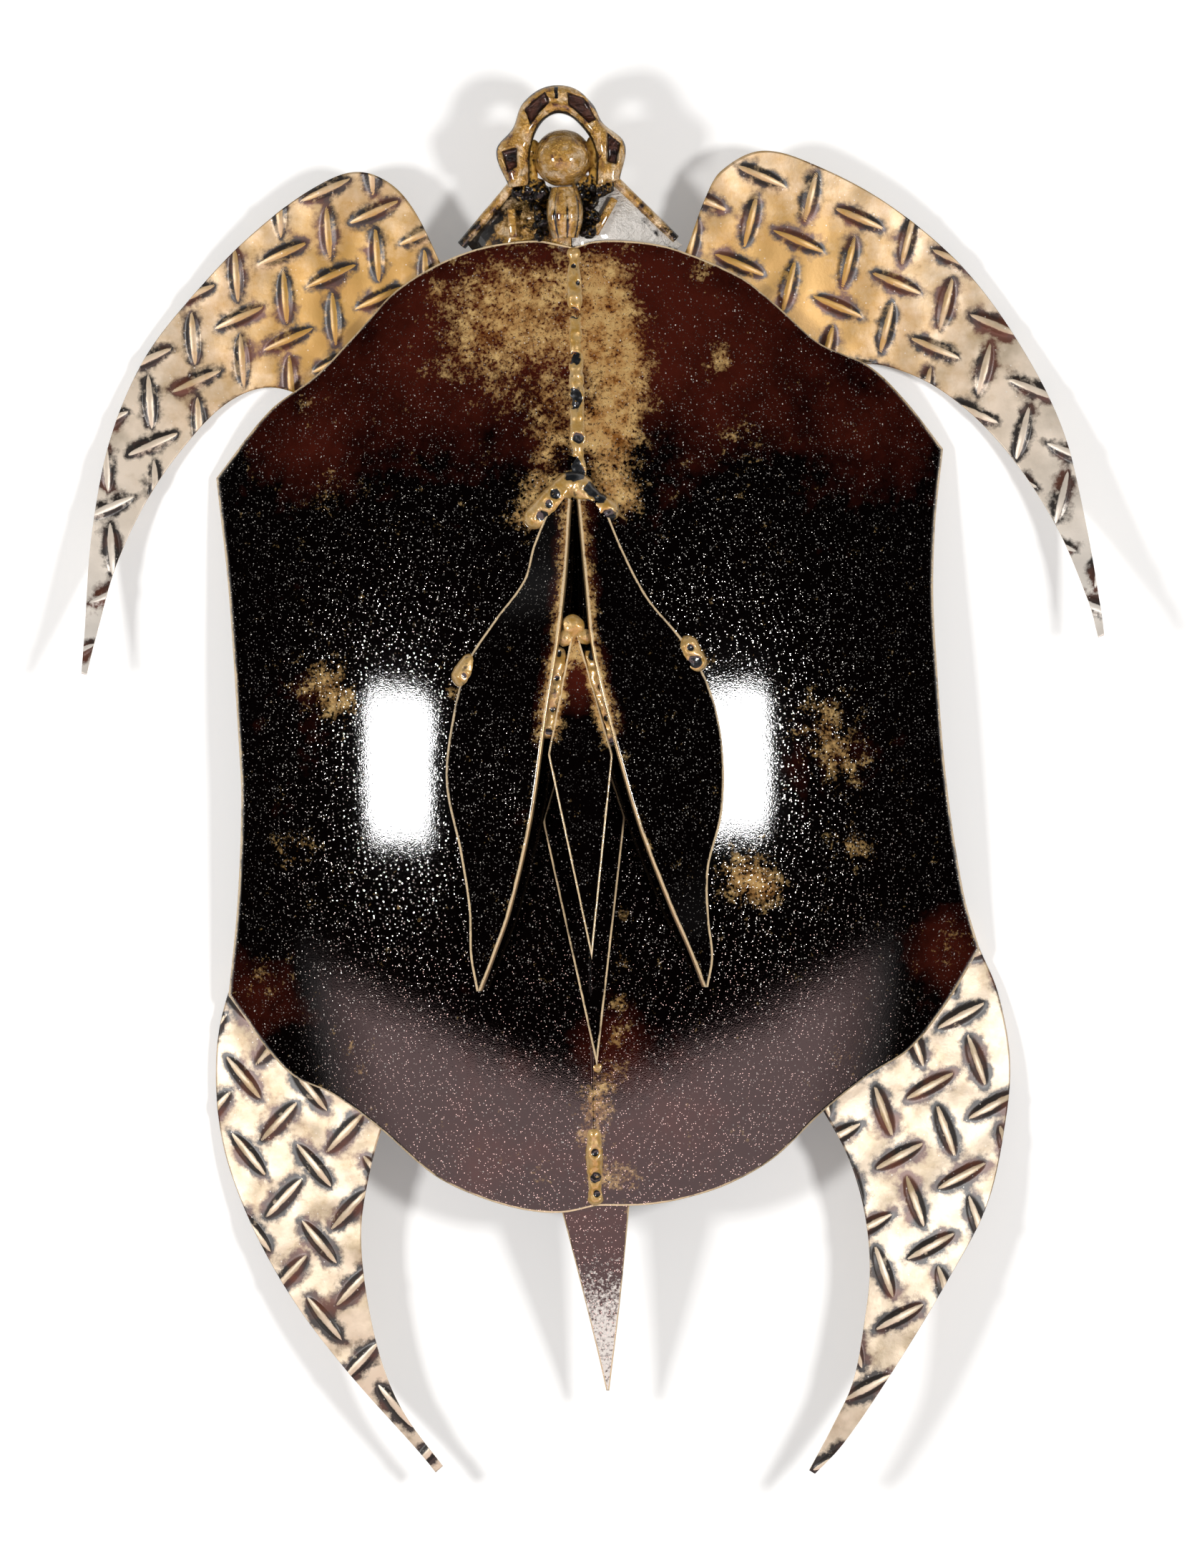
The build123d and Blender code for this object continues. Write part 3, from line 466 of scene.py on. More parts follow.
class TurtleSizes(bpy.types.PropertyGroup):
    """Sizes of the pieces that the welder would choose."""

    shell_sheet: size_setting("Shell sheet", "Thickness of the shell, scute, keel and tail sheet", 0.002)
    tread_sheet: size_setting("Tread plate", "Thickness of the flippers' tread plate", 0.0025)
    lug_length: size_setting("Lug length", "Length of a tread lug", 0.024)
    lug_width: size_setting("Lug width", "Width of a tread lug", 0.0065)
    lug_height: size_setting("Lug height", "Height of a tread lug over the plate", 0.0014)
    ridge_bead: size_setting("Ridge bead", "Radius of the weld bead along the back", 0.0026)
    bead_step: size_setting("Bead step", "Distance between the ripples of a weld bead", 0.0032)
    ball: size_setting("Head ball", "Diameter of the ball in the head", 0.0254)
    barrel: size_setting("Neck barrel", "Largest diameter of the neck's barrel", 0.016)
    rod: size_setting("Neck rod", "Diameter of the rods beside the neck", 0.0045)
    strut: size_setting("Neck strut", "Width of the square struts on the neck", 0.0035)
    beating: size_setting("Beating", "Depth of the uneven places left by the hammer", 0.00012)


class TurtleColours(bpy.types.PropertyGroup):
    """Colours of the finishes."""

    # On the head and neck this black also paints shade along edges, seams and crevices
    patina: colour_setting("Patina", "Black patina under the lacquer", "#040202")
    rust: colour_setting("Rust", "Red-brown rust under the lacquer", "#40160e")
    amber: colour_setting("Amber", "Bare steel seen through amber lacquer", "#96612c")
    mill: colour_setting("Mill", "Duller steel between the bright places", "#978058")
    # On the head, random patches of this colour partly paint shade
    scale: colour_setting("Scale", "Red-brown mill scale beside the lugs", "#5e3524")
    # The metal of the bright flakes, and also the colour of painted highlights: white specks, the flippers'
    # pale outer parts and the right neck web
    flake: colour_setting("Flake", "Bright specks in the lacquer", "#e6e0d8")
    tread: colour_setting("Tread", "Pale steel of the tread plate", "#e2cdb2")
    # On the flippers' roots this gold is a painted reflection
    gold: colour_setting("Gold", "Golden lacquer on the flippers' roots and the head", "#b58a3e")
    # Beside the lugs this colour also paints shade on their flanks
    grime: colour_setting("Grime", "Dark grime beside the lugs and in the hollows", "#2c2622")
    weld: colour_setting("Weld", "Tan weld metal", "#c6a46c")
    slag: colour_setting("Slag", "Dark slag in the pits of a weld", "#15171a")
    cut: colour_setting("Cut edge", "Bare cut edge of a sheet", "#d9bf98")
    floor: colour_setting("Floor", "Pale floor", "#f4f3f1")


# Golden places on the shell: photo point, size in photo pixels and weight
GOLD_SPOTS = [
    ((660, 400), 60, 0.35), ((720, 410), 60, 0.45), ((700, 480), 60, 0.45), ((640, 490), 50, 0.35),
    ((770, 400), 50, 0.4), ((760, 480), 45, 0.45), ((770, 560), 34, 0.6), ((765, 620), 32, 0.65),
    ((758, 680), 32, 0.65), ((735, 725), 26, 0.6), ((840, 380), 45, 0.75), ((850, 440), 48, 0.8),
    ((868, 500), 50, 0.85), ((868, 560), 44, 0.8), ((860, 620), 40, 0.8), ((850, 680), 36, 0.7),
    ((880, 700), 26, 0.55), ((820, 480), 36, 0.6), ((820, 600), 32, 0.6), ((700, 560), 40, 0.3),
    ((450, 950), 40, 0.5), ((475, 985), 35, 0.45), ((410, 1190), 28, 0.5), ((1150, 1010), 45, 0.5),
    ((1180, 1070), 40, 0.48), ((1040, 1225), 36, 0.8), ((1075, 1245), 26, 0.6), ((1195, 1180), 32, 0.45),
    ((360, 1370), 30, 0.45), ((460, 680), 35, 0.35), ((430, 570), 22, 0.4), ((605, 410), 22, 0.4),
    ((1010, 500), 22, 0.6), ((980, 375), 20, 0.45), ((1030, 610), 40, 0.3), ((872, 1280), 16, 0.4),
    ((868, 1340), 16, 0.45), ((866, 1400), 18, 0.55), ((862, 1450), 20, 0.6), ((852, 1500), 26, 0.65),
    ((832, 1545), 26, 0.8), ((826, 1590), 22, 0.6), ((832, 1640), 20, 0.5), ((870, 1650), 32, 0.45),
    ((505, 1500), 20, 0.35), ((490, 1460), 16, 0.35), ((1190, 1480), 30, 0.35), ((1340, 1320), 34, 0.4),
    ((755, 1640), 18, 0.35), ((640, 970), 22, 0.4), ((975, 915), 22, 0.4),
]
RUST_SPOTS = [
    ((600, 480), 160, 0.8), ((1010, 470), 170, 0.8), ((800, 420), 200, 0.7), ((420, 620), 90, 0.7),
    ((1230, 600), 100, 0.7), ((360, 1400), 70, 0.8), ((1330, 1340), 70, 0.8), ((930, 1600), 120, 0.5),
    ((700, 1600), 120, 0.5), ((1150, 1050), 90, 0.3), ((440, 1000), 90, 0.3), ((860, 1450), 60, 0.7),
]


def make_patina(colours):
    """Sheet steel with black patina under a glossy clear lacquer."""
    # The eye sees near-black brown with a hard wet gloss, fine white specks, and gold where bare steel shows
    tree, shader, place, gold, rust, pale, edge = new_material(
        "lacquered_patina_steel", "gold", "rust", "pale", "edge")
    clouds, mottle, grain = [
        add_node(tree, "TexNoise",
                 {"Vector": place, "Scale": 1 / size, "Detail": detail, "Roughness": roughness})
        for size, detail, roughness in ((0.026, 6, 0.7), (0.008, 5, 0.7), (0.0014, 2, 0.6))]
    # Red-brown rust in clouds
    rusty = add_node(tree, "Math", {0: clouds, 1: 1.6, 2: rust}, operation="MULTIPLY_ADD")
    rusted = add_node(tree, "MapRange", {"Value": rusty, "From Min": 1.05, "From Max": 1.9})
    brown = add_node(tree, "Mix", {0: rusted, 6: colours.patina, 7: colours.rust}, data_type="RGBA")
    # Bare steel shows where the patina was thin: ragged patches, broken up by millimetre grains
    ragged = add_node(tree, "Math", {0: mottle, 1: 2.0, 2: gold}, operation="MULTIPLY_ADD")
    broken = add_node(tree, "Math", {0: grain, 1: 1.1, 2: ragged}, operation="MULTIPLY_ADD")
    bare = add_node(tree, "MapRange", {"Value": broken, "From Min": 1.92, "From Max": 2.55})
    freckle = add_node(tree, "MapRange", {"Value": grain, "From Min": 0.44, "From Max": 0.34,
                                          "To Max": 0.45})
    left = add_node(tree, "Math", {0: bare, 1: freckle}, operation="SUBTRACT", use_clamp=True)
    hue = add_node(tree, "MapRange", {"Value": mottle, "From Min": 0.35, "From Max": 0.65})
    tint = add_node(tree, "Mix", {0: hue, 6: colours.amber, 7: colours.weld}, data_type="RGBA")
    tone = add_node(tree, "Mix", {0: left, 6: brown, 7: tint}, data_type="RGBA")
    # Painted glints: white specks, each under a millimetre, in two sizes, standing for the sparkle of the
    # lacquer's grain
    for cell, share, most in ((0.0013, 0.7, 0.4), (0.0022, 0.65, 0.9)):
        dots = add_node(tree, "TexVoronoi", {"Vector": place, "Scale": 1 / cell, "Randomness": 1})
        kinds = add_node(tree, "SeparateColor", {0: dots.outputs["Color"]})
        chosen = add_node(tree, "MapRange", {
            "Value": kinds.outputs[0], "From Min": share, "From Max": 1.0, "To Max": most})
        close = add_node(tree, "MapRange", {
            "Value": dots.outputs["Distance"], "From Min": 0.00035 / cell, "From Max": 0.00020 / cell})
        flake = add_node(tree, "Math", {0: chosen, 1: close}, operation="MULTIPLY")
        tone = add_node(tree, "Mix", {0: flake, 6: tone, 7: colours.flake}, data_type="RGBA")
    # Painted glints: pale grains crowd towards the tail's tip, where the mark pale is high, and rims are
    # nicked bright
    worn = add_node(tree, "Math", {0: pale, 1: 0.55, 2: grain}, operation="MULTIPLY_ADD")
    light = add_node(tree, "MapRange", {"Value": worn, "From Min": 0.72, "From Max": 0.95})
    glint_grained = add_node(tree, "Mix", {0: light, 6: tone, 7: colours.flake}, data_type="RGBA")
    nicked = add_node(tree, "Math", {0: edge, 1: mottle}, operation="MULTIPLY")
    rim = add_node(tree, "MapRange", {"Value": nicked, "From Min": 0.2, "From Max": 0.4})
    last = add_node(tree, "Mix", {0: rim, 6: glint_grained, 7: colours.cut}, data_type="RGBA")
    # Grains of bright metal lie at their own angles, so that sparks crowd round a reflected lamp
    facets = add_node(tree, "TexVoronoi", {"Vector": place, "Scale": 1 / 0.0010, "Randomness": 1})
    parts = add_node(tree, "SeparateColor", {0: facets.outputs["Color"]})
    few = add_node(tree, "Math", {0: parts.outputs[2], 1: 0.42}, operation="GREATER_THAN")
    spark = add_node(tree, "Math", {0: facets.outputs["Distance"], 1: 0.2}, operation="LESS_THAN")
    spark = add_node(tree, "Math", {0: few, 1: spark}, operation="MULTIPLY")
    shown = add_node(tree, "Mix", {0: spark, 6: last, 7: colours.flake}, data_type="RGBA")
    lean = add_node(tree, "VectorMath", {0: facets.outputs["Color"], 1: (0.5, 0.5, 0.5)},
                    operation="SUBTRACT")
    level = add_node(tree, "NewGeometry").outputs["Normal"]
    turned = add_node(tree, "VectorMath", {0: lean, 1: (0.14, 0.14, 0.0), 2: level},
                      operation="MULTIPLY_ADD")
    facing = add_node(tree, "VectorMath", {0: turned}, operation="NORMALIZE")
    peel = add_node(tree, "TexNoise", {"Vector": place, "Scale": 1 / 0.0006, "Detail": 1})
    skin = add_node(tree, "Bump", {"Strength": 0.15, "Distance": 0.0001, "Height": peel})
    feed(tree, shader, {"Base Color": shown, "Roughness": 0.21, "Metallic": spark,
                        "Specular IOR Level": 0.0, "Normal": facing, "Coat Weight": 1.0,
                        "Coat Roughness": 0.035, "Coat IOR": 1.6, "Coat Normal": skin})


def make_tread(colours):
    """Rolled tread plate, its mill face worn bright, under thin amber lacquer."""
    # The eye sees pale tan metal, golden near the shell, and lugs with a bright crest between two dark lines
    tree, shader, place, crest, near, root, tip = new_material(
        "lacquered_tread_plate", "crest", "near", "root", "tip")
    clouds, smudge, grain, dents = [
        add_node(tree, "TexNoise",
                 {"Vector": place, "Scale": 1 / size, "Detail": detail, "Roughness": roughness})
        for size, detail, roughness in (
            (0.018, 4, 0.55), (0.006, 5, 0.65), (0.0014, 3, 0.6), (0.022, 1, 0.4))]
    dull = add_node(tree, "MapRange", {"Value": clouds, "From Min": 0.42, "From Max": 0.66, "To Max": 0.8})
    base = add_node(tree, "Mix", {0: dull, 6: colours.tread, 7: colours.mill}, data_type="RGBA")
    # Painted reflections: gold on the sloped root near the shell, and pale on the flat outer part towards the
    # tip
    gilded = add_node(tree, "Math", {0: smudge, 1: 0.8, 2: root}, operation="MULTIPLY_ADD")
    gilt = add_node(tree, "MapRange", {"Value": gilded, "From Min": 0.45, "From Max": 1.1})
    mixed = add_node(tree, "Mix", {0: gilt, 6: base, 7: colours.gold}, data_type="RGBA")
    gold = add_node(tree, "Mix", {0: tip, 6: mixed, 7: colours.flake}, data_type="RGBA")
    # Painted shade darkens each lug's flanks, and brown lacquer, grime and scale gather round its feet
    redness = add_node(tree, "MapRange", {"Value": clouds, "From Min": 0.48, "From Max": 0.64})
    dirt_and_shade = add_node(tree, "Mix", {0: redness, 6: colours.grime, 7: colours.scale}, data_type="RGBA")
    shade_and_grime = add_node(tree, "Math", {0: clouds, 1: 0.7, 2: near}, operation="MULTIPLY_ADD")
    shade_and_stain = add_node(tree, "Math", {0: shade_and_grime, 1: smudge}, operation="MULTIPLY")
    shade_and_stain_mask = add_node(tree, "MapRange", {"Value": shade_and_stain, "From Min": 0.3, "From Max": 0.47})
    shaded_and_stained = add_node(tree, "Mix", {0: shade_and_stain_mask, 6: gold, 7: dirt_and_shade}, data_type="RGBA")
    uneven = add_node(tree, "Math", {0: smudge, 1: 0.5, 2: crest}, operation="MULTIPLY_ADD")
    top = add_node(tree, "MapRange", {"Value": uneven, "From Min": 0.76, "From Max": 0.9})
    lug = add_node(tree, "Mix", {0: top, 6: shaded_and_stained, 7: gold}, data_type="RGBA")
    # Painted glints: sparse white specks on the plate
    dots = add_node(tree, "TexVoronoi", {"Vector": place, "Scale": 1 / 0.0021, "Randomness": 1})
    kinds = add_node(tree, "SeparateColor", {0: dots.outputs["Color"]})
    chosen = add_node(tree, "MapRange", {
        "Value": kinds.outputs[0], "From Min": 0.7, "From Max": 1.0, "To Max": 0.7})
    close = add_node(tree, "MapRange", {
        "Value": dots.outputs["Distance"], "From Min": 0.2, "From Max": 0.1})
    flake = add_node(tree, "Math", {0: chosen, 1: close}, operation="MULTIPLY")
    last = add_node(tree, "Mix", {0: flake, 6: lug, 7: colours.flake}, data_type="RGBA")
    bump = add_node(tree, "Bump", {"Strength": 0.3, "Distance": 0.0002, "Height": grain})
    dent = add_node(tree, "Bump", {"Strength": 1.0, "Distance": 0.003, "Height": dents, "Normal": bump})
    feed(tree, shader, {"Base Color": last, "Roughness": 0.42, "Metallic": 0.25,
                        "Normal": dent, "Coat Weight": 0.4, "Coat Roughness": 0.32})


def make_cut(colours):
    """Bare edge of cut sheet, ground and lacquered."""
    # The eye sees a thin bright tan line with fine grinding marks
    tree, shader, place = new_material("ground_steel_edge")
    marks = add_node(tree, "TexNoise", {"Vector": place, "Scale": 1 / 0.002, "Detail": 3})
    shade = add_node(tree, "Mix", {0: marks, 6: colours.cut, 7: colours.weld}, data_type="RGBA")
    feed(tree, shader, {"Base Color": shade, "Roughness": 0.35, "Metallic": 0.8, "Coat Weight": 0.5})


def make_weld(colours):
    """Weld metal as laid, brushed and lacquered."""
    # The eye sees lumpy tan metal with a little gold and soot, and dark grey slag left in its pits
    tree, shader, place, pit = new_material("brushed_weld_metal", "pit")
    clouds, grain = [
        add_node(tree, "TexNoise",
                 {"Vector": place, "Scale": 1 / size, "Detail": detail, "Roughness": roughness})
        for size, detail, roughness in ((0.005, 5, 0.7), (0.0016, 2, 0.5))]
    warm = add_node(tree, "MapRange", {"Value": clouds, "From Min": 0.42, "From Max": 0.6})
    gilded = add_node(tree, "Mix", {0: warm, 6: colours.weld, 7: colours.gold}, data_type="RGBA")
    soot = add_node(tree, "MapRange", {"Value": clouds, "From Min": 0.42, "From Max": 0.32, "To Max": 0.8})
    blackened = add_node(tree, "Mix", {0: soot, 6: gilded, 7: colours.grime}, data_type="RGBA")
    hole = add_node(tree, "MapRange", {"Value": pit, "From Min": 0.45, "From Max": 0.6})
    pitted = add_node(tree, "Mix", {0: hole, 6: blackened, 7: colours.slag}, data_type="RGBA")
    bump = add_node(tree, "Bump", {"Strength": 0.5, "Distance": 0.0004, "Height": grain})
    feed(tree, shader, {"Base Color": pitted, "Roughness": 0.4, "Metallic": 0.3, "Normal": bump,
                        "Coat Weight": 1.0, "Coat Roughness": 0.06})


def make_head(colours):
    """Forged steel, polished and dipped in amber lacquer."""
    # The eye sees gold metal with wet highlights, red-brown hollows, black seams and one bright web
    tree, shader, place, hollow, soot, bright = new_material(
        "amber_lacquered_forging", "hollow", "soot", "bright")
    clouds, grain = [
        add_node(tree, "TexNoise",
                 {"Vector": place, "Scale": 1 / size, "Detail": detail, "Roughness": roughness})
        for size, detail, roughness in ((0.006, 5, 0.65), (0.0015, 2, 0.5))]
    # Painted reflections: random cream patches stand for highlights, and random brown patches partly for
    # shade and partly the lacquer's own browner places, over the gold
    cream_highlight_mask = add_node(tree, "MapRange", {"Value": clouds, "From Min": 0.37, "From Max": 0.5})
    gilded = add_node(tree, "Mix", {0: cream_highlight_mask, 6: colours.cut, 7: colours.gold}, data_type="RGBA")
    brown = add_node(tree, "MapRange", {"Value": clouds, "From Min": 0.54, "From Max": 0.65})
    browned = add_node(tree, "Mix", {0: brown, 6: gilded, 7: colours.scale}, data_type="RGBA")
    deep = add_node(tree, "MapRange", {"Value": hollow, "From Min": 0.3, "From Max": 0.6})
    glow = add_node(tree, "MapRange", {"Value": clouds, "From Min": 0.4, "From Max": 0.62})
    sunk = add_node(tree, "Mix", {0: glow, 6: colours.patina, 7: colours.scale}, data_type="RGBA")
    sunken = add_node(tree, "Mix", {0: deep, 6: browned, 7: sunk}, data_type="RGBA")
    # Painted reflection: the bright mark turns the right web near white and less metallic, as a softbox
    # mirrored in it
    with_web_reflection = add_node(tree, "Mix", {0: bright, 6: sunken, 7: colours.flake}, data_type="RGBA")
    # Painted shade: the dark mark on the mesh darkens edges, seams, the slit, grooves and crevices; random
    # clouds add soot
    darkening = add_node(tree, "Math", {0: clouds, 1: 1.4, 2: soot}, operation="MULTIPLY_ADD")
    black = add_node(tree, "MapRange", {"Value": darkening, "From Min": 1.05, "From Max": 1.28})
    blackened = add_node(tree, "Mix", {0: black, 6: with_web_reflection, 7: colours.patina}, data_type="RGBA")
    bump = add_node(tree, "Bump", {"Strength": 0.3, "Distance": 0.0003, "Height": grain})
    dent = add_node(tree, "Bump", {"Strength": 1.0, "Distance": 0.003, "Height": clouds, "Normal": bump})
    metal = add_node(tree, "MapRange", {"Value": bright, "To Min": 0.5, "To Max": 0.0})
    feed(tree, shader, {"Base Color": blackened, "Roughness": 0.22, "Metallic": metal,
                        "Normal": dent, "Coat Weight": 1.0, "Coat Roughness": 0.04})


# The piled weld beside the head's ball is golden from this line forward, in the shared frame
GOLD_FROM_PX = (787, 256)
GOLD_FROM = HOME.y + on_piece(NOSE_PX, HEAD_LENGTH, HEAD_ENDS_PX)(GOLD_FROM_PX).y


def make_crevice(colours):
    """Piled weld in the corners of the neck, left black, and brushed golden beside the ball."""
    # The eye sees black lumps with small wet glints and a few amber grains
    tree, shader, place = new_material("black_weld_slag")
    ahead = add_node(tree, "SeparateXYZ", {0: place}).outputs["Y"]
    lumps = add_node(tree, "TexNoise", {"Vector": place, "Scale": 1 / 0.002, "Detail": 4})
    beside = add_node(tree, "MapRange", {
        "Value": ahead, "From Min": GOLD_FROM - 0.003, "From Max": GOLD_FROM + 0.003, "To Max": 0.3})
    mix = add_node(tree, "Math", {0: lumps, 1: beside}, operation="ADD")
    show = add_node(tree, "MapRange", {"Value": mix, "From Min": 0.6, "From Max": 0.75})
    shade = add_node(tree, "Mix", {0: show, 6: colours.patina, 7: colours.gold}, data_type="RGBA")
    bump = add_node(tree, "Bump", {"Strength": 1.0, "Distance": 0.0012, "Height": lumps})
    feed(tree, shader, {"Base Color": shade, "Roughness": 0.4, "Specular IOR Level": 0.1,
                        "Normal": bump, "Coat Weight": 0.45, "Coat Roughness": 0.04})


class TURTLE_OT_finishes(bpy.types.Operator):
    """Mix the finishes of all the pieces."""

    bl_idname = "turtle.finishes"
    bl_label = "Finishes"

    def execute(self, context):
        colours = context.scene.turtle_colours
        for make in (make_patina, make_tread, make_cut, make_weld, make_head, make_crevice):
            make(colours)
        return {"FINISHED"}


def beaten(places, depth, seed):
    """Heights of the uneven places that hammering leaves in a sheet."""
    return depth * ripples(places, 0.06, seed) + depth * 0.2 * ripples(places, 0.02, seed + 3)


class TURTLE_OT_shell(bpy.types.Operator):
    """Beat the two halves of the shell out of sheet."""

    bl_idname = "turtle.shell"
    bl_label = "Shell halves"

    def execute(self, context):
        sizes = context.scene.turtle_sizes
        halves = {"shell_left": SHELL_LEFT_PX, "shell_right": SHELL_RIGHT_PX}
        for seed, (name, runs) in enumerate(halves.items()):
            rim = [on_shell(point.xy).to_3d() for point in joined_line(runs, 300)]
            ridge = [on_shell(NOSE_PX.lerp(TAIL_PX, share)).to_3d() for share in np.linspace(0, 1, len(rim))]
            edge = [on_shell(point.xy) for point in joined_line(runs, 3000)]
            bm = bmesh.new()
            ruled_sheet(bm, ridge, rim, 80)
            face_up(bm)

            def shape(places):
                heights = shell_height(places[:, 0], places[:, 1])
                hold = np.clip(np.abs(places[:, 0]) / 0.02, 0, 1)
                places[:, 2] = heights - np.abs(beaten(places, sizes.beating, seed)) * hold
                return places

            def marks(places):
                return {
                    "gold": patches(places, GOLD_SPOTS), "rust": patches(places, RUST_SPOTS),
                    "edge": np.clip(1 - (distances(places, edge) - 0.0004) / 0.0008, 0, 1),
                }

            piece = finish_piece(bm, name, ["lacquered_patina_steel", "ground_steel_edge"],
                                 shape, marks)
            thicken(piece, sizes.shell_sheet, -1, 1)
        return {"FINISHED"}


def bead_radii(path, radius, step, seed):
    """Radii of a weld bead along its path: rounded ends, ripples and lumps."""
    run = np.concatenate([[0], np.cumsum([(b - a).length for a, b in zip(path, path[1:])])])
    end = np.minimum(run, run[-1] - run)
    rounded = np.sqrt(np.clip(1 - (1 - np.clip(end / radius, 0, 1)) ** 2, 0.02, 1))
    wave = 1 + 0.02 * np.sin(run / step * 2 * math.pi) + 0.35 * ripples(path, 0.009, seed)
    return radius * rounded * np.clip(wave, 0.85, 1.2)


# Slag pits in the welds: photo point, size in photo pixels and weight
PITS = [
    ((803, 438), 8, 1.6), ((804, 501), 9, 1.6), ((803, 553), 9, 1.6), ((803, 563), 9, 1.6),
    ((809, 614), 7, 1.6), ((803, 650), 9, 1.6), ((800, 664), 10, 1.6), ((812, 664), 7, 1.6),
    ((803, 372), 4, 1.3), ((808, 395), 4, 1.3), ((777, 692), 7, 1.6), ((768, 706), 5, 1.5),
    ((758, 722), 8, 1.6), ((826, 684), 8, 1.6), ((839, 695), 10, 1.4), ((852, 723), 9, 1.6),
    ((833, 1610), 6, 1.5), ((834, 1645), 7, 1.6), ((835, 1668), 5, 1.4), ((783, 888), 6, 1.5),
    ((782, 915), 4, 1.5), ((825, 902), 8, 1.6), ((830, 918), 6, 1.6), ((780, 950), 4, 1.5),
    ((843, 961), 6, 1.5), ((774, 992), 4, 1.5), ((768, 1024), 5, 1.5), ((848, 1005), 4, 1.4),
    ((858, 1036), 6, 1.6), ((972, 925), 9, 1.6), ((965, 905), 5, 1.4), ((650, 945), 4, 1.4),
]


def weld(name, points, radius, seed, sizes, sink):
    """One weld bead through a few points, sunk so that only its flat crown shows above the sheet."""
    length = sum((b - a).length for a, b in zip(points, points[1:]))
    path = smooth_line(points, max(12, round(length / 0.0007)))
    bm = bmesh.new()
    sunk = [point - Vector((0, 0, sink)) for point in path]
    rod(bm, sunk, bead_radii(path, radius, sizes.bead_step, seed), 36)
    fields = {}

    def shape(places):
        fields["pit"] = patches(places, PITS) * (1 + 0.9 * ripples(places, 0.0022, seed + 60))
        depth = 0.0009 * np.clip(fields["pit"] * 2 - 0.6, 0, 1)
        places[:, 2] += 0.0006 * ripples(places, 0.0035, seed + 30) - depth
        places[:, 2] = np.maximum(places[:, 2], shell_height(places[:, 0], places[:, 1]) - 0.0012)
        return places

    finish_piece(bm, name, ["brushed_weld_metal"], shape, lambda places: fields)


class TURTLE_OT_ridge_welds(bpy.types.Operator):
    """Run the weld beads along the crease of the back."""

    bl_idname = "turtle.ridge_welds"
    bl_label = "Ridge welds"

    def execute(self, context):
        sizes = context.scene.turtle_sizes
        runs = {
            "front_ridge_weld": (NOSE_PX, FRONT_BEAD_END_PX),
            "rear_ridge_weld": (REAR_BEAD_START_PX, TAIL_PX),
        }
        for seed, (name, ends) in enumerate(runs.items()):
            front, rear = [on_shell(end).y for end in ends]
            points = [raised(Vector((0, y)), 0) for y in np.linspace(front, rear, 8)]
            weld(name, points, sizes.ridge_bead * RIDGE_BEAD_SWELL, seed, sizes,
                 sizes.ridge_bead * RIDGE_BEAD_SINK_SHARE)
        return {"FINISHED"}


class TURTLE_OT_scutes(bpy.types.Operator):
    """Bend the two leaf scutes and stand them on the back."""

    bl_idname = "turtle.scutes"
    bl_label = "Leaf scutes"

    def execute(self, context):
        sizes = context.scene.turtle_sizes
        for name, edges in SCUTES.items():
            place = on_piece(edges["ends"][0], SCUTE_LENGTH, edges["ends"])
            outer = []
            for share, point in zip(np.linspace(0, 1, len(edges["outer"])), edges["outer"]):
                lift = SCUTE_TIP_LIFT * max(0, share - SCUTE_LIFT_FROM_SHARE) / (1 - SCUTE_LIFT_FROM_SHARE)
                outer.append(raised(place(point), lift + sizes.shell_sheet / 2))
            inner = [raised(place(point), SCUTE_RISE * share + sizes.shell_sheet / 2)
                     for point, share in zip(edges["inner"], SCUTE_RISE_SHARES)]
            bm = bmesh.new()
            ruled_sheet(bm, smooth_line(outer, 200), smooth_line(inner, 200), 40)
            face_up(bm)
            inner_line = smooth_line(inner, 2000)
            line = smooth_line(outer, 2000) + inner_line
            welded_to = on_shell(SEAMS_PX["keel_seam_left"][1]).y

            def marks(places):
                front = np.clip((places[:, 1] - welded_to) / 0.02 + 0.5, 0.2, 1)
                return {
                    "gold": np.clip(1 - distances(places, inner_line) / 0.006, 0, 1) * front,
                    "rust": 0.7 * np.clip(1 - distances(places, inner_line) / 0.010, 0, 1) * front,
                    "edge": np.clip(1 - (distances(places, line) - 0.0005) / 0.0009, 0, 1),
                }

            piece = finish_piece(bm, name, ["lacquered_patina_steel", "ground_steel_edge"],
                                 marks=marks)
            thicken(piece, sizes.shell_sheet, 0, 1)
        return {"FINISHED"}


class TURTLE_OT_scute_welds(bpy.types.Operator):
    """Lay the forked bead in front of the scutes and the tacks beside them."""

    bl_idname = "turtle.scute_welds"
    bl_label = "Scute welds"

    def execute(self, context):
        sizes = context.scene.turtle_sizes
        fork = [on_shell(point) for point in FORK_PX]
        arms = [raised(a.lerp(b, share), FORK_BEAD_LIFT)
                for a, b in zip(fork, fork[1:]) for share in (0, 0.33, 0.67)]
        arms.append(raised(fork[-1], FORK_BEAD_LIFT))
        weld("scute_fork_weld", arms, FORK_BEAD_RADIUS, 5, sizes, FORK_BEAD_SINK)
        for seed, (name, ends) in enumerate(TACKS_PX.items()):
            tack = [raised(on_shell(point), TACK_LIFT) for point in ends]
            weld(name, tack, TACK_RADIUS, 7 + seed, sizes, TACK_SINK)
        return {"FINISHED"}


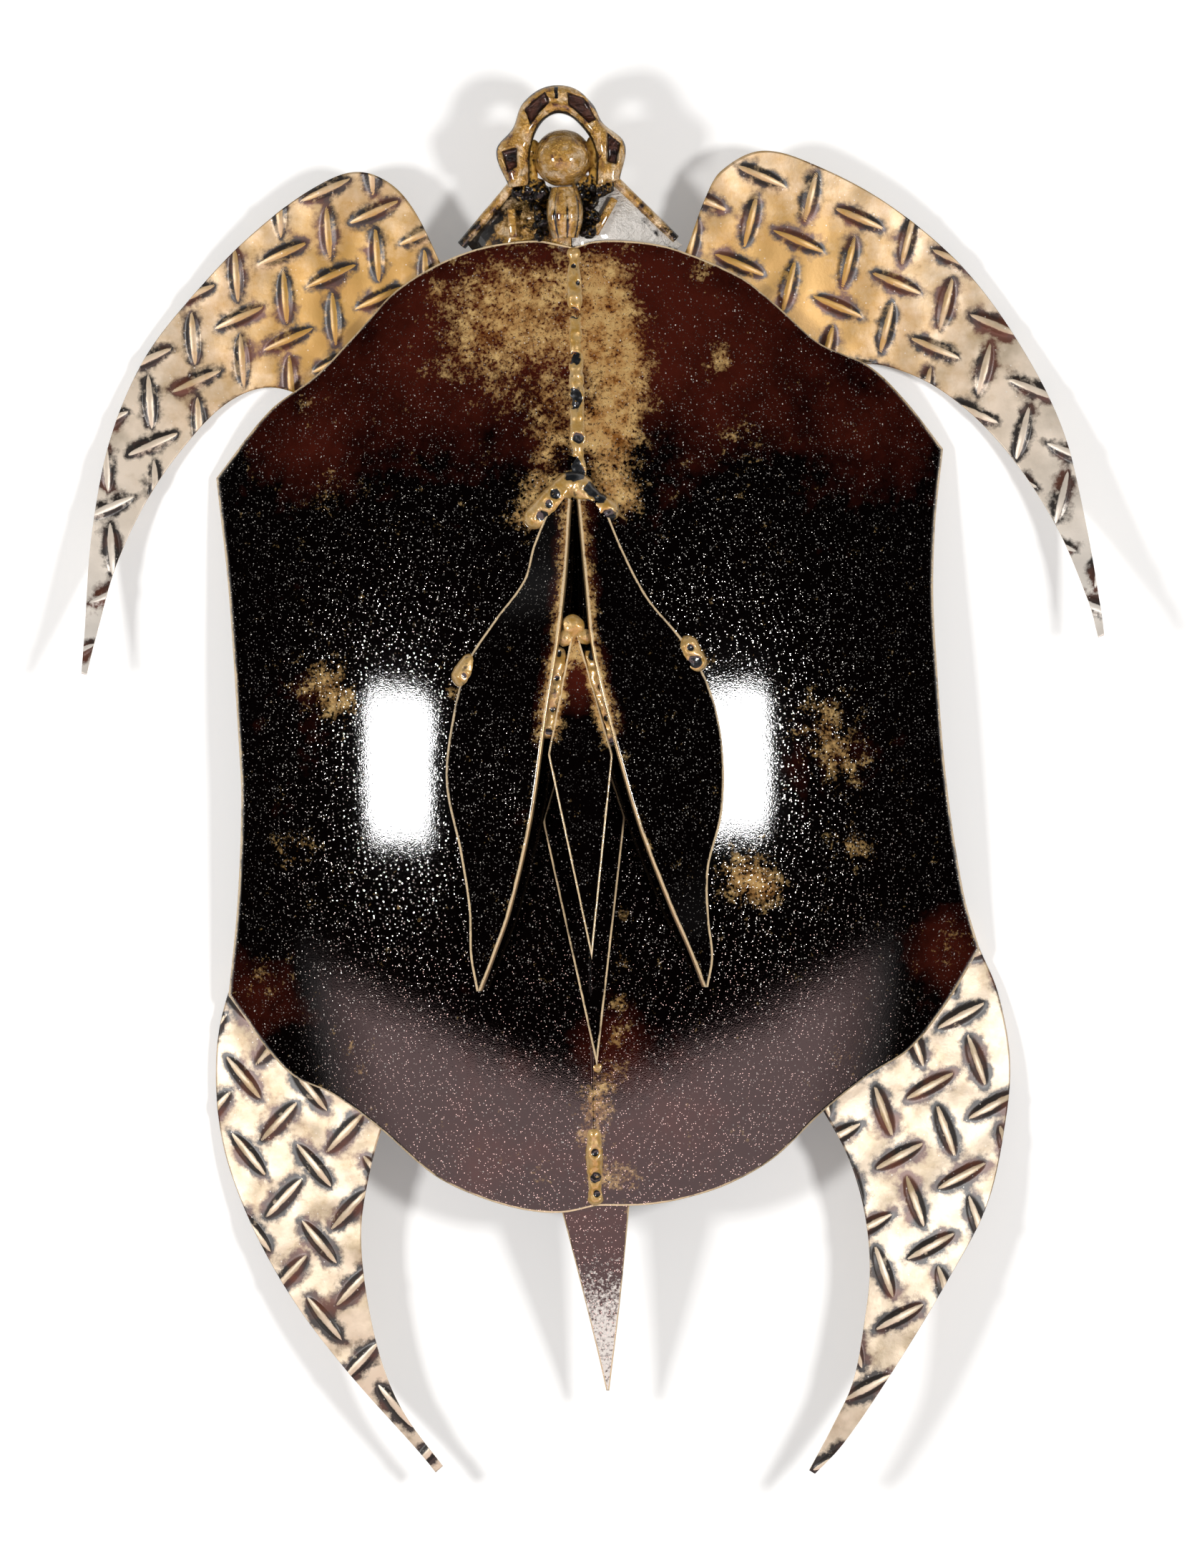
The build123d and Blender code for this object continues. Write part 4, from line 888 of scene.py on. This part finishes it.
# Golden places along the seams of the front keel plate, and its red-brown middle
KEEL_SPOTS = [
    ((803, 890), 22, 1.0), ((790, 910), 14, 1.0), ((817, 910), 14, 1.0), ((787, 930), 13, 1.0),
    ((823, 932), 13, 1.0), ((784, 950), 13, 1.0), ((830, 955), 13, 1.0), ((781, 970), 13, 1.0),
    ((836, 975), 13, 1.0), ((778, 990), 13, 1.0), ((841, 995), 13, 1.0), ((775, 1010), 12, 0.9),
    ((847, 1015), 12, 0.9), ((772, 1030), 12, 0.8), ((851, 1033), 12, 0.8), ((806, 940), 55, 0.95),
]


def keel_plane(name):
    """Placing function of a keel plate, from photo points to points on its sloping top."""
    corners, length, nose_lift, tip_lift = KEELS[name]
    place = on_piece(corners[0], length, [corners[0], corners[2]])
    nose, tip = raised(place(corners[0]), nose_lift), raised(place(corners[2]), tip_lift)
    slope = (tip.z - nose.z) / (tip.y - nose.y)
    return lambda point: Vector((*place(point), nose.z + (place(point).y - nose.y) * slope))


def plate(bm, corners, border):
    """Flat plate of a few corners, with a narrow border of faces along its edges."""
    face = bm.faces.new([bm.verts.new(corner) for corner in corners])
    bmesh.ops.inset_region(bm, faces=[face], thickness=border, use_even_offset=True)
    face_up(bm)


class TURTLE_OT_keel_plates(bpy.types.Operator):
    """Cut the two kite-shaped keel plates."""

    bl_idname = "turtle.keel_plates"
    bl_label = "Keel plates"

    def execute(self, context):
        sizes = context.scene.turtle_sizes
        for name, (corners, *_) in KEELS.items():
            place = keel_plane(name)
            bm = bmesh.new()
            plate(bm, [place(corner) for corner in corners], 0.0009)
            bmesh.ops.subdivide_edges(bm, edges=bm.edges, cuts=50, use_grid_fill=True)
            rim = [place(corner) for corner in corners + corners[:1]]
            line = [a.lerp(b, share) for a, b in zip(rim, rim[1:]) for share in np.linspace(0, 1, 400)]
            gold_spots = KEEL_SPOTS[:-1] if name == "keel_front" else []

            def marks(places):
                return {
                    "gold": patches(places, gold_spots),
                    "rust": patches(places, KEEL_SPOTS[-1:]),
                    "edge": np.clip(1 - (distances(places, line) - 0.0005) / 0.0006, 0, 1),
                }

            piece = finish_piece(bm, name, ["lacquered_patina_steel", "ground_steel_edge"],
                                 marks=marks)
            thicken(piece, sizes.shell_sheet, -1, 1)
        return {"FINISHED"}


def lump(bm, centre, radius, seed, height=1):
    """Uneven ball of weld metal, flattened to a share of its height."""
    ball = bmesh.ops.create_icosphere(
        bm, subdivisions=4, radius=radius, matrix=Matrix.Translation(centre))["verts"]
    for vert, swell in zip(ball, ripples([vert.co for vert in ball], radius * 0.8, seed)):
        vert.co = centre + (vert.co - centre) * (1 + 0.16 * swell) * Vector((1, 1, height))


class TURTLE_OT_keel_welds(bpy.types.Operator):
    """Lay the seams, the nose weld and the tip weld of the keel plates."""

    bl_idname = "turtle.keel_welds"
    bl_label = "Keel welds"

    def execute(self, context):
        sizes = context.scene.turtle_sizes
        front, rear = keel_plane("keel_front"), keel_plane("keel_rear")
        middle = Vector((0, 0, -sizes.shell_sheet / 2))
        for seed, (name, ends) in enumerate(SEAMS_PX.items()):
            seam = [front(point) + middle for point in ends]
            weld(name, seam, SEAM_RADIUS, 11 + seed, sizes, SEAM_SINK)
        tip = rear(KEELS["keel_rear"][0][2])
        lumps = {
            "keel_nose_weld": [(front(NOSE_BEAD_PX) + middle, NOSE_BEAD_RADIUS)] + [
                (front(point) + middle, NOSE_SIDE_BEAD_RADIUS) for point in NOSE_SIDE_BEADS_PX],
            "keel_tip_weld": [(raised(tip, TIP_BEAD_LIFT), TIP_BEAD_RADIUS)],
        }
        for seed, (name, balls) in enumerate(lumps.items()):
            bm = bmesh.new()
            for centre, radius in balls:
                lump(bm, centre, radius, 21 + seed, 0.55)
            finish_piece(bm, name, ["brushed_weld_metal"])
        return {"FINISHED"}


def tread_height(data):
    """Placing function of a flipper, and the height of its bent plate over plan positions."""
    place = on_piece(data["rim"][0], data["length"], data["ends"])
    start, end = on_shell(data["rim"][0]), place(data["rim"][1])
    along = (end - start).normalized()
    out = Vector((-along.y, along.x))
    if out.dot(end) < 0:
        out = -out
    top, foot = [float(shell_height(*point)) - RIM_CLEARANCE for point in (end, start)]
    slope = math.atan((top - foot) / (end - start).length)

    def height(x, y):
        run = (x - end.x) * along.x + (y - end.y) * along.y
        aside = (x - end.x) * out.x + (y - end.y) * out.y
        sine = math.sin(slope) + np.maximum(run, 0) * data["curl"]
        bend = (math.cos(slope) - np.sqrt(1 - sine ** 2)) / data["curl"]
        drop = aside * math.tan(math.radians(data["fall"]))
        return top + np.minimum(run, 0) * math.tan(slope) + bend - drop

    return place, height


def tread_lugs(places, data, place, sizes):
    """Lug height, nearness to a lug's foot and to its crest line, at each place on a flipper."""
    girth = ((sizes.lug_width / 2) ** 2 + sizes.lug_height ** 2) / (2 * sizes.lug_height)
    bow = ((sizes.lug_length / 2) ** 2 + sizes.lug_height ** 2) / (2 * sizes.lug_height)
    seed, across, down = [Vector(point) for point in data["tread"]]
    steps = [place(seed + across) - place(seed), place(seed + down) - place(seed)]
    count = math.ceil(data["length"] / min(step.length for step in steps))
    heights, near, crest = np.zeros((3, len(places)))
    for column in range(-count, count + 1):
        for row in range(-count, count + 1):
            centre = place(seed) + steps[0] * column + steps[1] * row
            offset = places[:, :2] - np.array(centre)
            close = np.nonzero(np.hypot(offset[:, 0], offset[:, 1]) < sizes.lug_length)[0]
            if not len(close) or np.hypot(*offset[close].T).min() > sizes.lug_length / 4:
                continue
            lie = steps[(column + row) % 2].normalized()
            length = offset[close] @ np.array(lie)
            width = np.abs(offset[close] @ np.array((-lie.y, lie.x)))
            reach = np.minimum(np.abs(length), sizes.lug_length)
            round_radius = np.sqrt(bow ** 2 - reach ** 2) - (bow - girth)
            rise = np.sqrt(np.maximum(round_radius ** 2 - width ** 2, 0)) - (girth - sizes.lug_height)
            half = np.sqrt(np.maximum(round_radius ** 2 - (girth - sizes.lug_height) ** 2, 0))
            past_end = np.maximum(np.abs(length) - sizes.lug_length / 2, 0)
            beyond = np.hypot(past_end, np.maximum(width - half, 0))
            heights[close] = np.maximum(heights[close], rise)
            near[close] = np.maximum(near[close], np.exp(-beyond / 0.003))
            inward = np.where(half > 0.0003, 1 - width / np.maximum(half, 0.0003), 0)
            crest[close] = np.maximum(crest[close], inward)
    return np.maximum(heights, 0), near, crest


class TURTLE_OT_flippers(bpy.types.Operator):
    """Cut the four flippers out of tread plate and bend them."""

    bl_idname = "turtle.flippers"
    bl_label = "Flippers"

    def execute(self, context):
        sizes = context.scene.turtle_sizes
        for name, data in FLIPPERS.items():
            place, height = tread_height(data)
            edges = [[place(point).to_3d() for point in data[side]] for side in ("outer", "inner")]
            bm = bmesh.new()
            ruled_sheet(bm, smooth_line(edges[0], 340), smooth_line(edges[1], 340), 90)
            face_up(bm)
            solid_sheet(bm)
            rim = place(data["rim"][0]).lerp(place(data["rim"][1]), 0.5)
            fields = {}

            def shape(places):
                lugs, fields["near"], fields["crest"] = tread_lugs(places, data, place, sizes)
                under = places[:, 2] < 0
                level = height(places[:, 0], places[:, 1])
                places[:, 2] = np.where(under, level - sizes.tread_sheet, level + lugs)
                reach = np.hypot(places[:, 0] - rim.x, places[:, 1] - rim.y)
                # Painted reflections: golden towards the root, pale towards the tip
                fields["root"] = np.clip(1.25 - reach / 0.085, 0, 1) * data["gilt"]
                fields["tip"] = np.clip((reach - 0.08) / 0.1, 0, 1) * data["gilt"]
                fields["near"] *= 1 - 0.42 * data["gilt"]
                fields["crest"][under] = 0
                return places

            finish_piece(bm, name, ["lacquered_tread_plate", "ground_steel_edge"], shape,
                         lambda places: fields)
        return {"FINISHED"}


class TURTLE_OT_tail(bpy.types.Operator):
    """Cut the tail plate and tuck it under the shell's rim."""

    bl_idname = "turtle.tail"
    bl_label = "Tail"

    def execute(self, context):
        sizes = context.scene.turtle_sizes
        place = on_piece(TAIL_ENDS_PX[0], TAIL_LENGTH, TAIL_ENDS_PX)
        rim = place(TAIL_RIM_PX)
        top = raised(rim, -sizes.shell_sheet - 0.0003)
        edges = [[Vector((*place(point), top.z + (place(point).y - rim.y) * math.tan(TAIL_FALL)))
                  for point in edge] for edge in TAIL_EDGES_PX]
        bm = bmesh.new()
        ruled_sheet(bm, smooth_line(edges[0], 120), smooth_line(edges[1], 120), 24)
        face_up(bm)
        line = smooth_line(edges[0], 1200) + smooth_line(edges[1], 1200)

        # The mark pale paints glints of the pale card mirrored over the tail, more of them towards the tip
        def marks(places):
            return {
                "rust": np.full(len(places), 0.6),
                "pale": np.clip((edges[0][1].y + 0.006 - places[:, 1]) / 0.05, 0, 0.8),
                "edge": np.clip(1 - (distances(places, line) - 0.0003) / 0.0006, 0, 1),
            }

        piece = finish_piece(bm, "tail", ["lacquered_patina_steel", "ground_steel_edge"],
                             marks=marks)
        thicken(piece, sizes.shell_sheet, -1, 1)
        return {"FINISHED"}


# The head's four sunk panels and its slit, which is only painted as shade, the webs' thickness, and heights
# under the crown of the back
HEAD_PANELS_PX = [
    [(734, 152), (762, 129), (767, 142), (742, 172)],
    [(794, 130), (816, 137), (833, 166), (824, 171), (796, 146)],
    [(702, 212), (723, 207), (722, 232), (711, 240)],
    [(850, 186), (867, 200), (862, 229), (850, 226)],
]
HEAD_SLIT_PX = [(775, 121), (780, 121), (781, 138), (776, 138)]
HEAD_PANEL_DEPTH = 0.0025
WEB_SHEET = 0.0025
WEB_DROP = 0.0026
NOSE_HEIGHT = float(shell_height(0, SHELL_LENGTH / 2))
WEB_TOP = NOSE_HEIGHT - WEB_DROP


def on_head(point):
    """Plan position of a photo point that belongs to the head or the neck."""
    return on_piece(NOSE_PX, HEAD_LENGTH, HEAD_ENDS_PX)(point)


def on_web(point, side):
    """Point on the sloping top of a neck web."""
    place = on_head(point)
    return Vector((place.x, place.y, WEB_TOP - side * place.x * math.tan(WEB_FALL)))


def inside_depth(places, corners):
    """How far each place lies inside a convex outline, in plan; negative outside."""
    middle = sum(corners, Vector((0, 0))) / len(corners)
    depth = np.full(len(places), 1.0)
    for start, end in zip(corners, corners[1:] + corners[:1]):
        inward = Vector((start.y - end.y, end.x - start.x)).normalized()
        if inward.dot(middle - start) < 0:
            inward = -inward
        depth = np.minimum(depth, (places[:, 0] - start.x) * inward.x + (places[:, 1] - start.y) * inward.y)
    return depth


class TURTLE_OT_head(bpy.types.Operator):
    """Forge the head's cap and set the ball in it."""

    bl_idname = "turtle.head"
    bl_label = "Head"

    def execute(self, context):
        sizes = context.scene.turtle_sizes
        middle = NOSE_HEIGHT + BALL_LIFT
        outer = smooth_line([on_head(point) for point in HEAD_OUTER_PX], 200)
        inner = smooth_line([on_head(point) for point in HEAD_INNER_PX], 200)
        panels = [[on_head(point) for point in panel] for panel in HEAD_PANELS_PX]
        bm = bmesh.new()
        ruled_sheet(bm, outer, inner, 40)
        face_up(bm)
        solid_sheet(bm)
        fields = {}

        def shape(places):
            under = places[:, 2] < 0
            from_outer, from_inner = distances(places, outer), distances(places, inner)
            share = from_inner / (from_inner + from_outer)
            sunk = np.zeros(len(places))
            for panel in panels:
                sunk = np.maximum(sunk, np.clip(0.5 + inside_depth(places, panel) / 0.0014, 0, 1))
            fields["hollow"] = sunk
            # Painted shade: black along the inner edge under the cap, in the slit, round the sunk panels and
            # along the outer edge
            slit = inside_depth(places, [on_head(point) for point in HEAD_SLIT_PX])
            border = np.exp(-((sunk - 0.45) / 0.3) ** 2) * 0.6
            fields["soot"] = np.maximum.reduce([
                np.clip(1 - from_inner / 0.0018, 0, 0.9), np.clip(0.5 + slit / 0.0005, 0, 0.9), border,
                0.62 * np.clip(1 - from_outer / 0.0015, 0, 1)])
            crown = 1 - np.abs(2 * share - 1) ** 3
            lumps = 0.0005 * ripples(places, 0.006, 31)
            top = middle + HEAD_THICKNESS / 2 - 0.0032 * (1 - crown)
            top = top - HEAD_PANEL_DEPTH * sunk + lumps - 0.0004
            places[:, 2] = np.where(under, middle - HEAD_THICKNESS / 2 + 0.002 * (1 - crown), top)
            return places

        finish_piece(bm, "head_cap", ["amber_lacquered_forging"] * 2, shape,
                     lambda places: fields)
        bm = bmesh.new()
        centre = Vector((*on_head(BALL_PX), middle))
        bmesh.ops.create_uvsphere(bm, u_segments=72, v_segments=36, radius=sizes.ball / 2,
                                  matrix=Matrix.Translation(centre))
        finish_piece(bm, "head_ball", ["amber_lacquered_forging"])
        return {"FINISHED"}


def neck_web(hand, data):
    """Sloping plate of one side of the neck, with painted shade along the rod and the shell's rim."""
    side = data["side"]
    bm = bmesh.new()
    plate(bm, [on_web(point, side) for point in data["web"]], 0.0006)
    bmesh.ops.subdivide_edges(bm, edges=bm.edges, cuts=12, use_grid_fill=True)
    rim = SHELL_LEFT_PX[0][:4] if side < 0 else SHELL_RIGHT_PX[0][:5]
    rear_edge = [on_shell(point.xy) for point in smooth_line(rim, 400)]
    front, rear = [on_head(point) for point in data["bar"]]
    bar_line = [front.lerp(rear, share) for share in np.linspace(0, 1, 200)]

    def marks(places):
        darkening = np.clip(1 - distances(places, rear_edge) / 0.004, 0, 0.7)
        beside = np.clip(1 - distances(places, bar_line) / 0.006, 0, 0.6)
        return {
            "bright": np.full(len(places), data["bright"]),
            "soot": np.maximum(darkening, beside) + data["soot"],
        }

    web = finish_piece(bm, "neck_web_" + hand, ["amber_lacquered_forging"], marks=marks)
    thicken(web, WEB_SHEET, -1, 0)


def neck_bar(hand, data, sizes):
    """Rod from under the head's cap to the web, with painted shade growing towards its rear end by the
    shell's rim.
    """
    front, rear = on_head(data["bar"][0]), on_web(data["bar"][1], data["side"])
    cap_bottom = NOSE_HEIGHT + BALL_LIFT - HEAD_THICKNESS / 2
    start = Vector((front.x, front.y, cap_bottom - sizes.rod / 2))
    end = rear - Vector((0, 0, WEB_SHEET / 2))
    bm = bmesh.new()
    path = smooth_line([start, end], 40)
    rod(bm, path, sizes.rod / 2 * (1 + 0.06 * ripples(path, 0.006, 41)), 20)

    def marks(places):
        return {"soot": 0.15 + 0.45 * np.clip((start.y - places[:, 1]) / (start.y - end.y), 0, 1)}

    finish_piece(bm, "neck_bar_" + hand, ["amber_lacquered_forging"], marks=marks)


def neck_strut(hand, data, sizes):
    """Short square bar that lies on the web."""
    side = data["side"]
    front, rear = [on_web(point, side) for point in data["strut"]]
    heading = rear - front
    up = Vector((side * math.sin(WEB_FALL), 0, math.cos(WEB_FALL)))
    turn = Matrix((heading.normalized(), up.cross(heading.normalized()), up)).transposed().to_4x4()
    lift = Matrix.Translation((front + rear) / 2 + up * sizes.strut / 2)
    size = Matrix.Diagonal((heading.length, sizes.strut, sizes.strut, 1))
    bm = bmesh.new()
    bmesh.ops.create_cube(bm, size=1, matrix=lift @ turn @ size)
    bmesh.ops.bevel(bm, geom=bm.edges, offset=0.0006, offset_type="OFFSET", segments=2, profile=0.5,
                    affect="EDGES", material=-1)
    finish_piece(bm, "neck_strut_" + hand, ["amber_lacquered_forging"])


def neck_pile(hand, data):
    """Lumps of weld heaped beside the ball and the barrel, run together into one."""
    side = data["side"]
    bm = bmesh.new()
    dice = random.Random(side + 5)
    for point in data["lumps"]:
        centre = on_web(point, side) + Vector((0, 0, 0.0025))
        spread = 0.0026
        if centre.y > GOLD_FROM - HOME.y:
            centre.z, spread = NOSE_HEIGHT + BALL_LIFT, 0.001
        for _ in range(6):
            shift = Vector([dice.uniform(-1, 1) for axis in range(3)]) * spread
            lump(bm, centre + shift, dice.uniform(0.0016, 0.0028), dice.randrange(50))
    pile = finish_piece(bm, "neck_weld_" + hand, ["black_weld_slag"])
    merge = pile.modifiers.new("pile", "REMESH")
    merge.mode = "VOXEL"
    merge.voxel_size = 0.00045
    merge.use_smooth_shade = True


def neck_barrel(sizes):
    """Barrel-shaped plug between the ball and the shell, with painted shade in the grooves along it."""
    rear = on_head(BARREL_REAR_PX)
    ball = on_head(BALL_PX)
    length = ball.y - sizes.ball / 2 - 0.0003 - rear.y
    path = [Vector((rear.x, rear.y + length * share, WEB_TOP + sizes.barrel / 2))
            for share in np.linspace(0, 1, 40)]
    swell = np.sin(np.linspace(0, math.pi, 40))
    bm = bmesh.new()
    rod(bm, path, sizes.barrel / 2 * (0.69 + 0.31 * swell), 120)
    fields = {}

    def shape(places):
        around = np.arctan2(places[:, 0] - rear.x, places[:, 2] - path[0].z)
        grooves = sum(np.exp(-((around - math.radians(turn)) / 0.11) ** 2) for turn in BARREL_GROOVES)
        places[:, 0] -= (places[:, 0] - rear.x) * 0.09 * grooves
        places[:, 2] -= (places[:, 2] - path[0].z) * 0.09 * grooves
        # Painted shade in the grooves, stronger towards the rear
        fields["soot"] = 0.75 * grooves * np.clip(1.4 - (places[:, 1] - rear.y) / length, 0, 1)
        return places

    finish_piece(bm, "neck_barrel", ["amber_lacquered_forging"], shape, lambda places: fields)


class TURTLE_OT_neck(bpy.types.Operator):
    """Weld up the neck: webs, rods, struts, barrel and the lumps between them."""

    bl_idname = "turtle.neck"
    bl_label = "Neck"

    def execute(self, context):
        sizes = context.scene.turtle_sizes
        for hand, data in NECK.items():
            neck_web(hand, data)
            neck_bar(hand, data, sizes)
            neck_strut(hand, data, sizes)
            neck_pile(hand, data)
        neck_barrel(sizes)
        return {"FINISHED"}


class TURTLE_OT_hidden_welds(bpy.types.Operator):
    """Give the welds under the shell their finish."""

    bl_idname = "turtle.hidden_welds"
    bl_label = "Hidden welds"

    def execute(self, context):
        for name in [flipper + "_welds" for flipper in FLIPPERS] + ["tail_weld", "keel_tack"]:
            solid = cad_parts[name]
            solid.data.materials.clear()
            solid.data.materials.append(bpy.data.materials["brushed_weld_metal"])
        return {"FINISHED"}


# The stage: middle, height and turn of the picture, camera, floor and softboxes, in metres, watts and radians
PICTURE_MIDDLE = Vector((0.0024, -0.0009, 0.045))
PICTURE_HEIGHT = 0.685
PICTURE_TURN = math.radians(1.325)
CAMERA_DISTANCE = 5.0
SENSOR_HEIGHT_MM = 24
FLOOR_REACH = 6
FLOOR_DROP = 0.0005
SOFTBOX_LENGTH = 0.25
SOFTBOX_WIDTH = 0.22
SOFTBOX_POWER = 14
SOFTBOX_DISTANCE = 1.6
SOFTBOX_AHEAD = 0.024
SOFTBOX_LIFTS = {-1: math.radians(49.9), 1: math.radians(56.8)}

# The pale card over the tail, as a part of the sky: slant and lean of its edge, softness, brightness and tint
CARD_SLANT = -0.10
CARD_LEAN = 0.37
CARD_SOFTNESS = 0.004
CARD_BRIGHTNESS = 2.0
CARD_TINT = (1, 0.68, 0.67, 1)


def make_paper(colours):
    """White paper of the floor, matt and lit evenly."""
    # The eye sees plain white that soft shadows still show on, because the glow is weak near the object
    tree, shader, place = new_material("pale_paper")
    feed(tree, shader, {"Base Color": colours.floor, "Roughness": 0.8})
    ray = add_node(tree, "LightPath")
    seen = add_node(tree, "Math", {0: ray.outputs["Is Camera Ray"], 1: ray.outputs["Is Glossy Ray"]},
                    operation="MAXIMUM")
    all_seen = add_node(tree, "Math", {0: seen, 1: ray.outputs["Is Transmission Ray"]}, operation="MAXIMUM")
    reach = add_node(tree, "VectorMath", {0: place}, operation="LENGTH").outputs["Value"]
    spread = add_node(tree, "MapRange", {
        "Value": reach, "From Min": 0.6, "From Max": 2.4, "To Min": 0.22, "To Max": 1.0})
    share = add_node(tree, "Math", {0: all_seen, 1: spread}, operation="MULTIPLY")
    glow = add_node(tree, "Emission", {"Color": (1, 1, 1, 1), "Strength": share})
    both = add_node(tree, "AddShader", {0: shader, 1: glow})
    feed(tree, tree.nodes["Material Output"], {"Surface": both})


def light_studio(scene):
    """Sky of the studio: even light, and in mirror images a dark room, paler low down, and the card."""
    world = scene.world or bpy.data.worlds.new("studio")
    scene.world = world
    world.use_nodes = True
    tree = world.node_tree
    tree.nodes.clear()
    way = add_node(tree, "TexCoord").outputs["Generated"]
    aside, ahead, up = add_node(tree, "SeparateXYZ", {0: way}).outputs
    aside = add_node(tree, "Math", {0: aside}, operation="ABSOLUTE")
    tilt = add_node(tree, "Math", {0: aside, 1: CARD_SLANT, 2: ahead}, operation="MULTIPLY_ADD")
    card = add_node(tree, "Math", {0: up, 1: CARD_LEAN, 2: tilt}, operation="MULTIPLY_ADD")
    tailward = add_node(tree, "MapRange", {
        "Value": card, "From Min": CARD_SOFTNESS, "From Max": -CARD_SOFTNESS, "To Max": CARD_BRIGHTNESS})
    low = add_node(tree, "MapRange", {"Value": up, "From Min": 0.45, "From Max": 0.0, "To Max": 0.5})
    high = add_node(tree, "MapRange", {"Value": up, "From Min": 0.6, "From Max": 0.72})
    hung = add_node(tree, "Math", {0: tailward, 1: high}, operation="MULTIPLY")
    mirrored = add_node(tree, "Math", {0: hung, 1: low}, operation="MAXIMUM")
    ray = add_node(tree, "LightPath")
    level = add_node(tree, "MapRange", {
        "Value": ray.outputs["Is Glossy Ray"], "To Min": 0.2, "To Max": mirrored})
    bright = add_node(tree, "Math", {0: level, 1: ray.outputs["Is Camera Ray"]}, operation="MAXIMUM")
    shade = add_node(tree, "Mix", {0: hung, 6: (1, 1, 1, 1), 7: CARD_TINT}, data_type="RGBA")
    back = add_node(tree, "Background", {"Color": shade, "Strength": bright})
    add_node(tree, "OutputWorld", {"Surface": back})


class TURTLE_OT_stage(bpy.types.Operator):
    """Set up the pale floor, the two softboxes, the studio round them and the camera overhead."""

    bl_idname = "turtle.stage"
    bl_label = "Stage"

    def execute(self, context):
        scene = context.scene
        make_paper(scene.turtle_colours)
        light_studio(scene)
        bm = bmesh.new()
        bmesh.ops.create_grid(bm, x_segments=1, y_segments=1, size=FLOOR_REACH,
                              matrix=Matrix.Translation((0, 0, -FLOOR_DROP)))
        mesh = bpy.data.meshes.new("floor")
        bm.to_mesh(mesh)
        bm.free()
        mesh.materials.append(bpy.data.materials["pale_paper"])
        floor = bpy.data.objects.new("floor", mesh)
        scene.collection.objects.link(floor)

        for side, lift in SOFTBOX_LIFTS.items():
            lamp = bpy.data.lights.new("softbox", "AREA")
            lamp.shape = "RECTANGLE"
            lamp.size = SOFTBOX_LENGTH
            lamp.size_y = SOFTBOX_WIDTH
            lamp.energy = SOFTBOX_POWER
            box = bpy.data.objects.new("softbox", lamp)
            heading = Vector((side * math.cos(lift), SOFTBOX_AHEAD, math.sin(lift)))
            box.location = PICTURE_MIDDLE + heading * SOFTBOX_DISTANCE
            box.rotation_euler = (box.location - PICTURE_MIDDLE).to_track_quat("Z", "Y").to_euler()
            scene.collection.objects.link(box)

        lens = bpy.data.cameras.new("overhead")
        lens.sensor_fit = "VERTICAL"
        lens.sensor_height = SENSOR_HEIGHT_MM
        lens.lens = SENSOR_HEIGHT_MM * CAMERA_DISTANCE / PICTURE_HEIGHT
        lens.clip_end = 50
        camera = bpy.data.objects.new("overhead", lens)
        camera.location = PICTURE_MIDDLE + Vector((0, 0, CAMERA_DISTANCE))
        camera.rotation_euler = (0, 0, -PICTURE_TURN)
        scene.collection.objects.link(camera)
        scene.camera = camera
        scene.view_settings.view_transform = "Standard"
        return {"FINISHED"}


OPERATORS = [
    TURTLE_OT_finishes, TURTLE_OT_shell, TURTLE_OT_ridge_welds, TURTLE_OT_scutes, TURTLE_OT_scute_welds,
    TURTLE_OT_keel_plates, TURTLE_OT_keel_welds, TURTLE_OT_flippers, TURTLE_OT_tail, TURTLE_OT_head,
    TURTLE_OT_neck, TURTLE_OT_hidden_welds, TURTLE_OT_stage,
]


class TURTLE_PT_panel(bpy.types.Panel):
    """Sidebar list of the turtle's sizes, colours and pieces."""

    bl_idname = "TURTLE_PT_panel"
    bl_label = "Welded turtle"
    bl_space_type = "VIEW_3D"
    bl_region_type = "UI"
    bl_category = "Turtle"

    def draw(self, context):
        for group in (context.scene.turtle_sizes, context.scene.turtle_colours):
            for name in group.bl_rna.properties.keys():
                if name not in ("rna_type", "name"):
                    self.layout.prop(group, name)
        for operator in OPERATORS:
            self.layout.operator(operator.bl_idname)


CLASSES = [TurtleSizes, TurtleColours, *OPERATORS, TURTLE_PT_panel]


def register():
    for made in CLASSES:
        bpy.utils.register_class(made)
    bpy.types.Scene.turtle_sizes = PointerProperty(type=TurtleSizes)
    bpy.types.Scene.turtle_colours = PointerProperty(type=TurtleColours)


def unregister():
    del bpy.types.Scene.turtle_colours
    del bpy.types.Scene.turtle_sizes
    for made in reversed(CLASSES):
        bpy.utils.unregister_class(made)


def main():
    register()
    bpy.ops.turtle.finishes()
    bpy.ops.turtle.shell()
    bpy.ops.turtle.ridge_welds()
    bpy.ops.turtle.scutes()
    bpy.ops.turtle.scute_welds()
    bpy.ops.turtle.keel_plates()
    bpy.ops.turtle.keel_welds()
    bpy.ops.turtle.flippers()
    bpy.ops.turtle.tail()
    bpy.ops.turtle.head()
    bpy.ops.turtle.neck()
    bpy.ops.turtle.hidden_welds()
    bpy.ops.turtle.stage()
    bpy.context.view_layer.update()


if __name__ == "__main__":
    main()
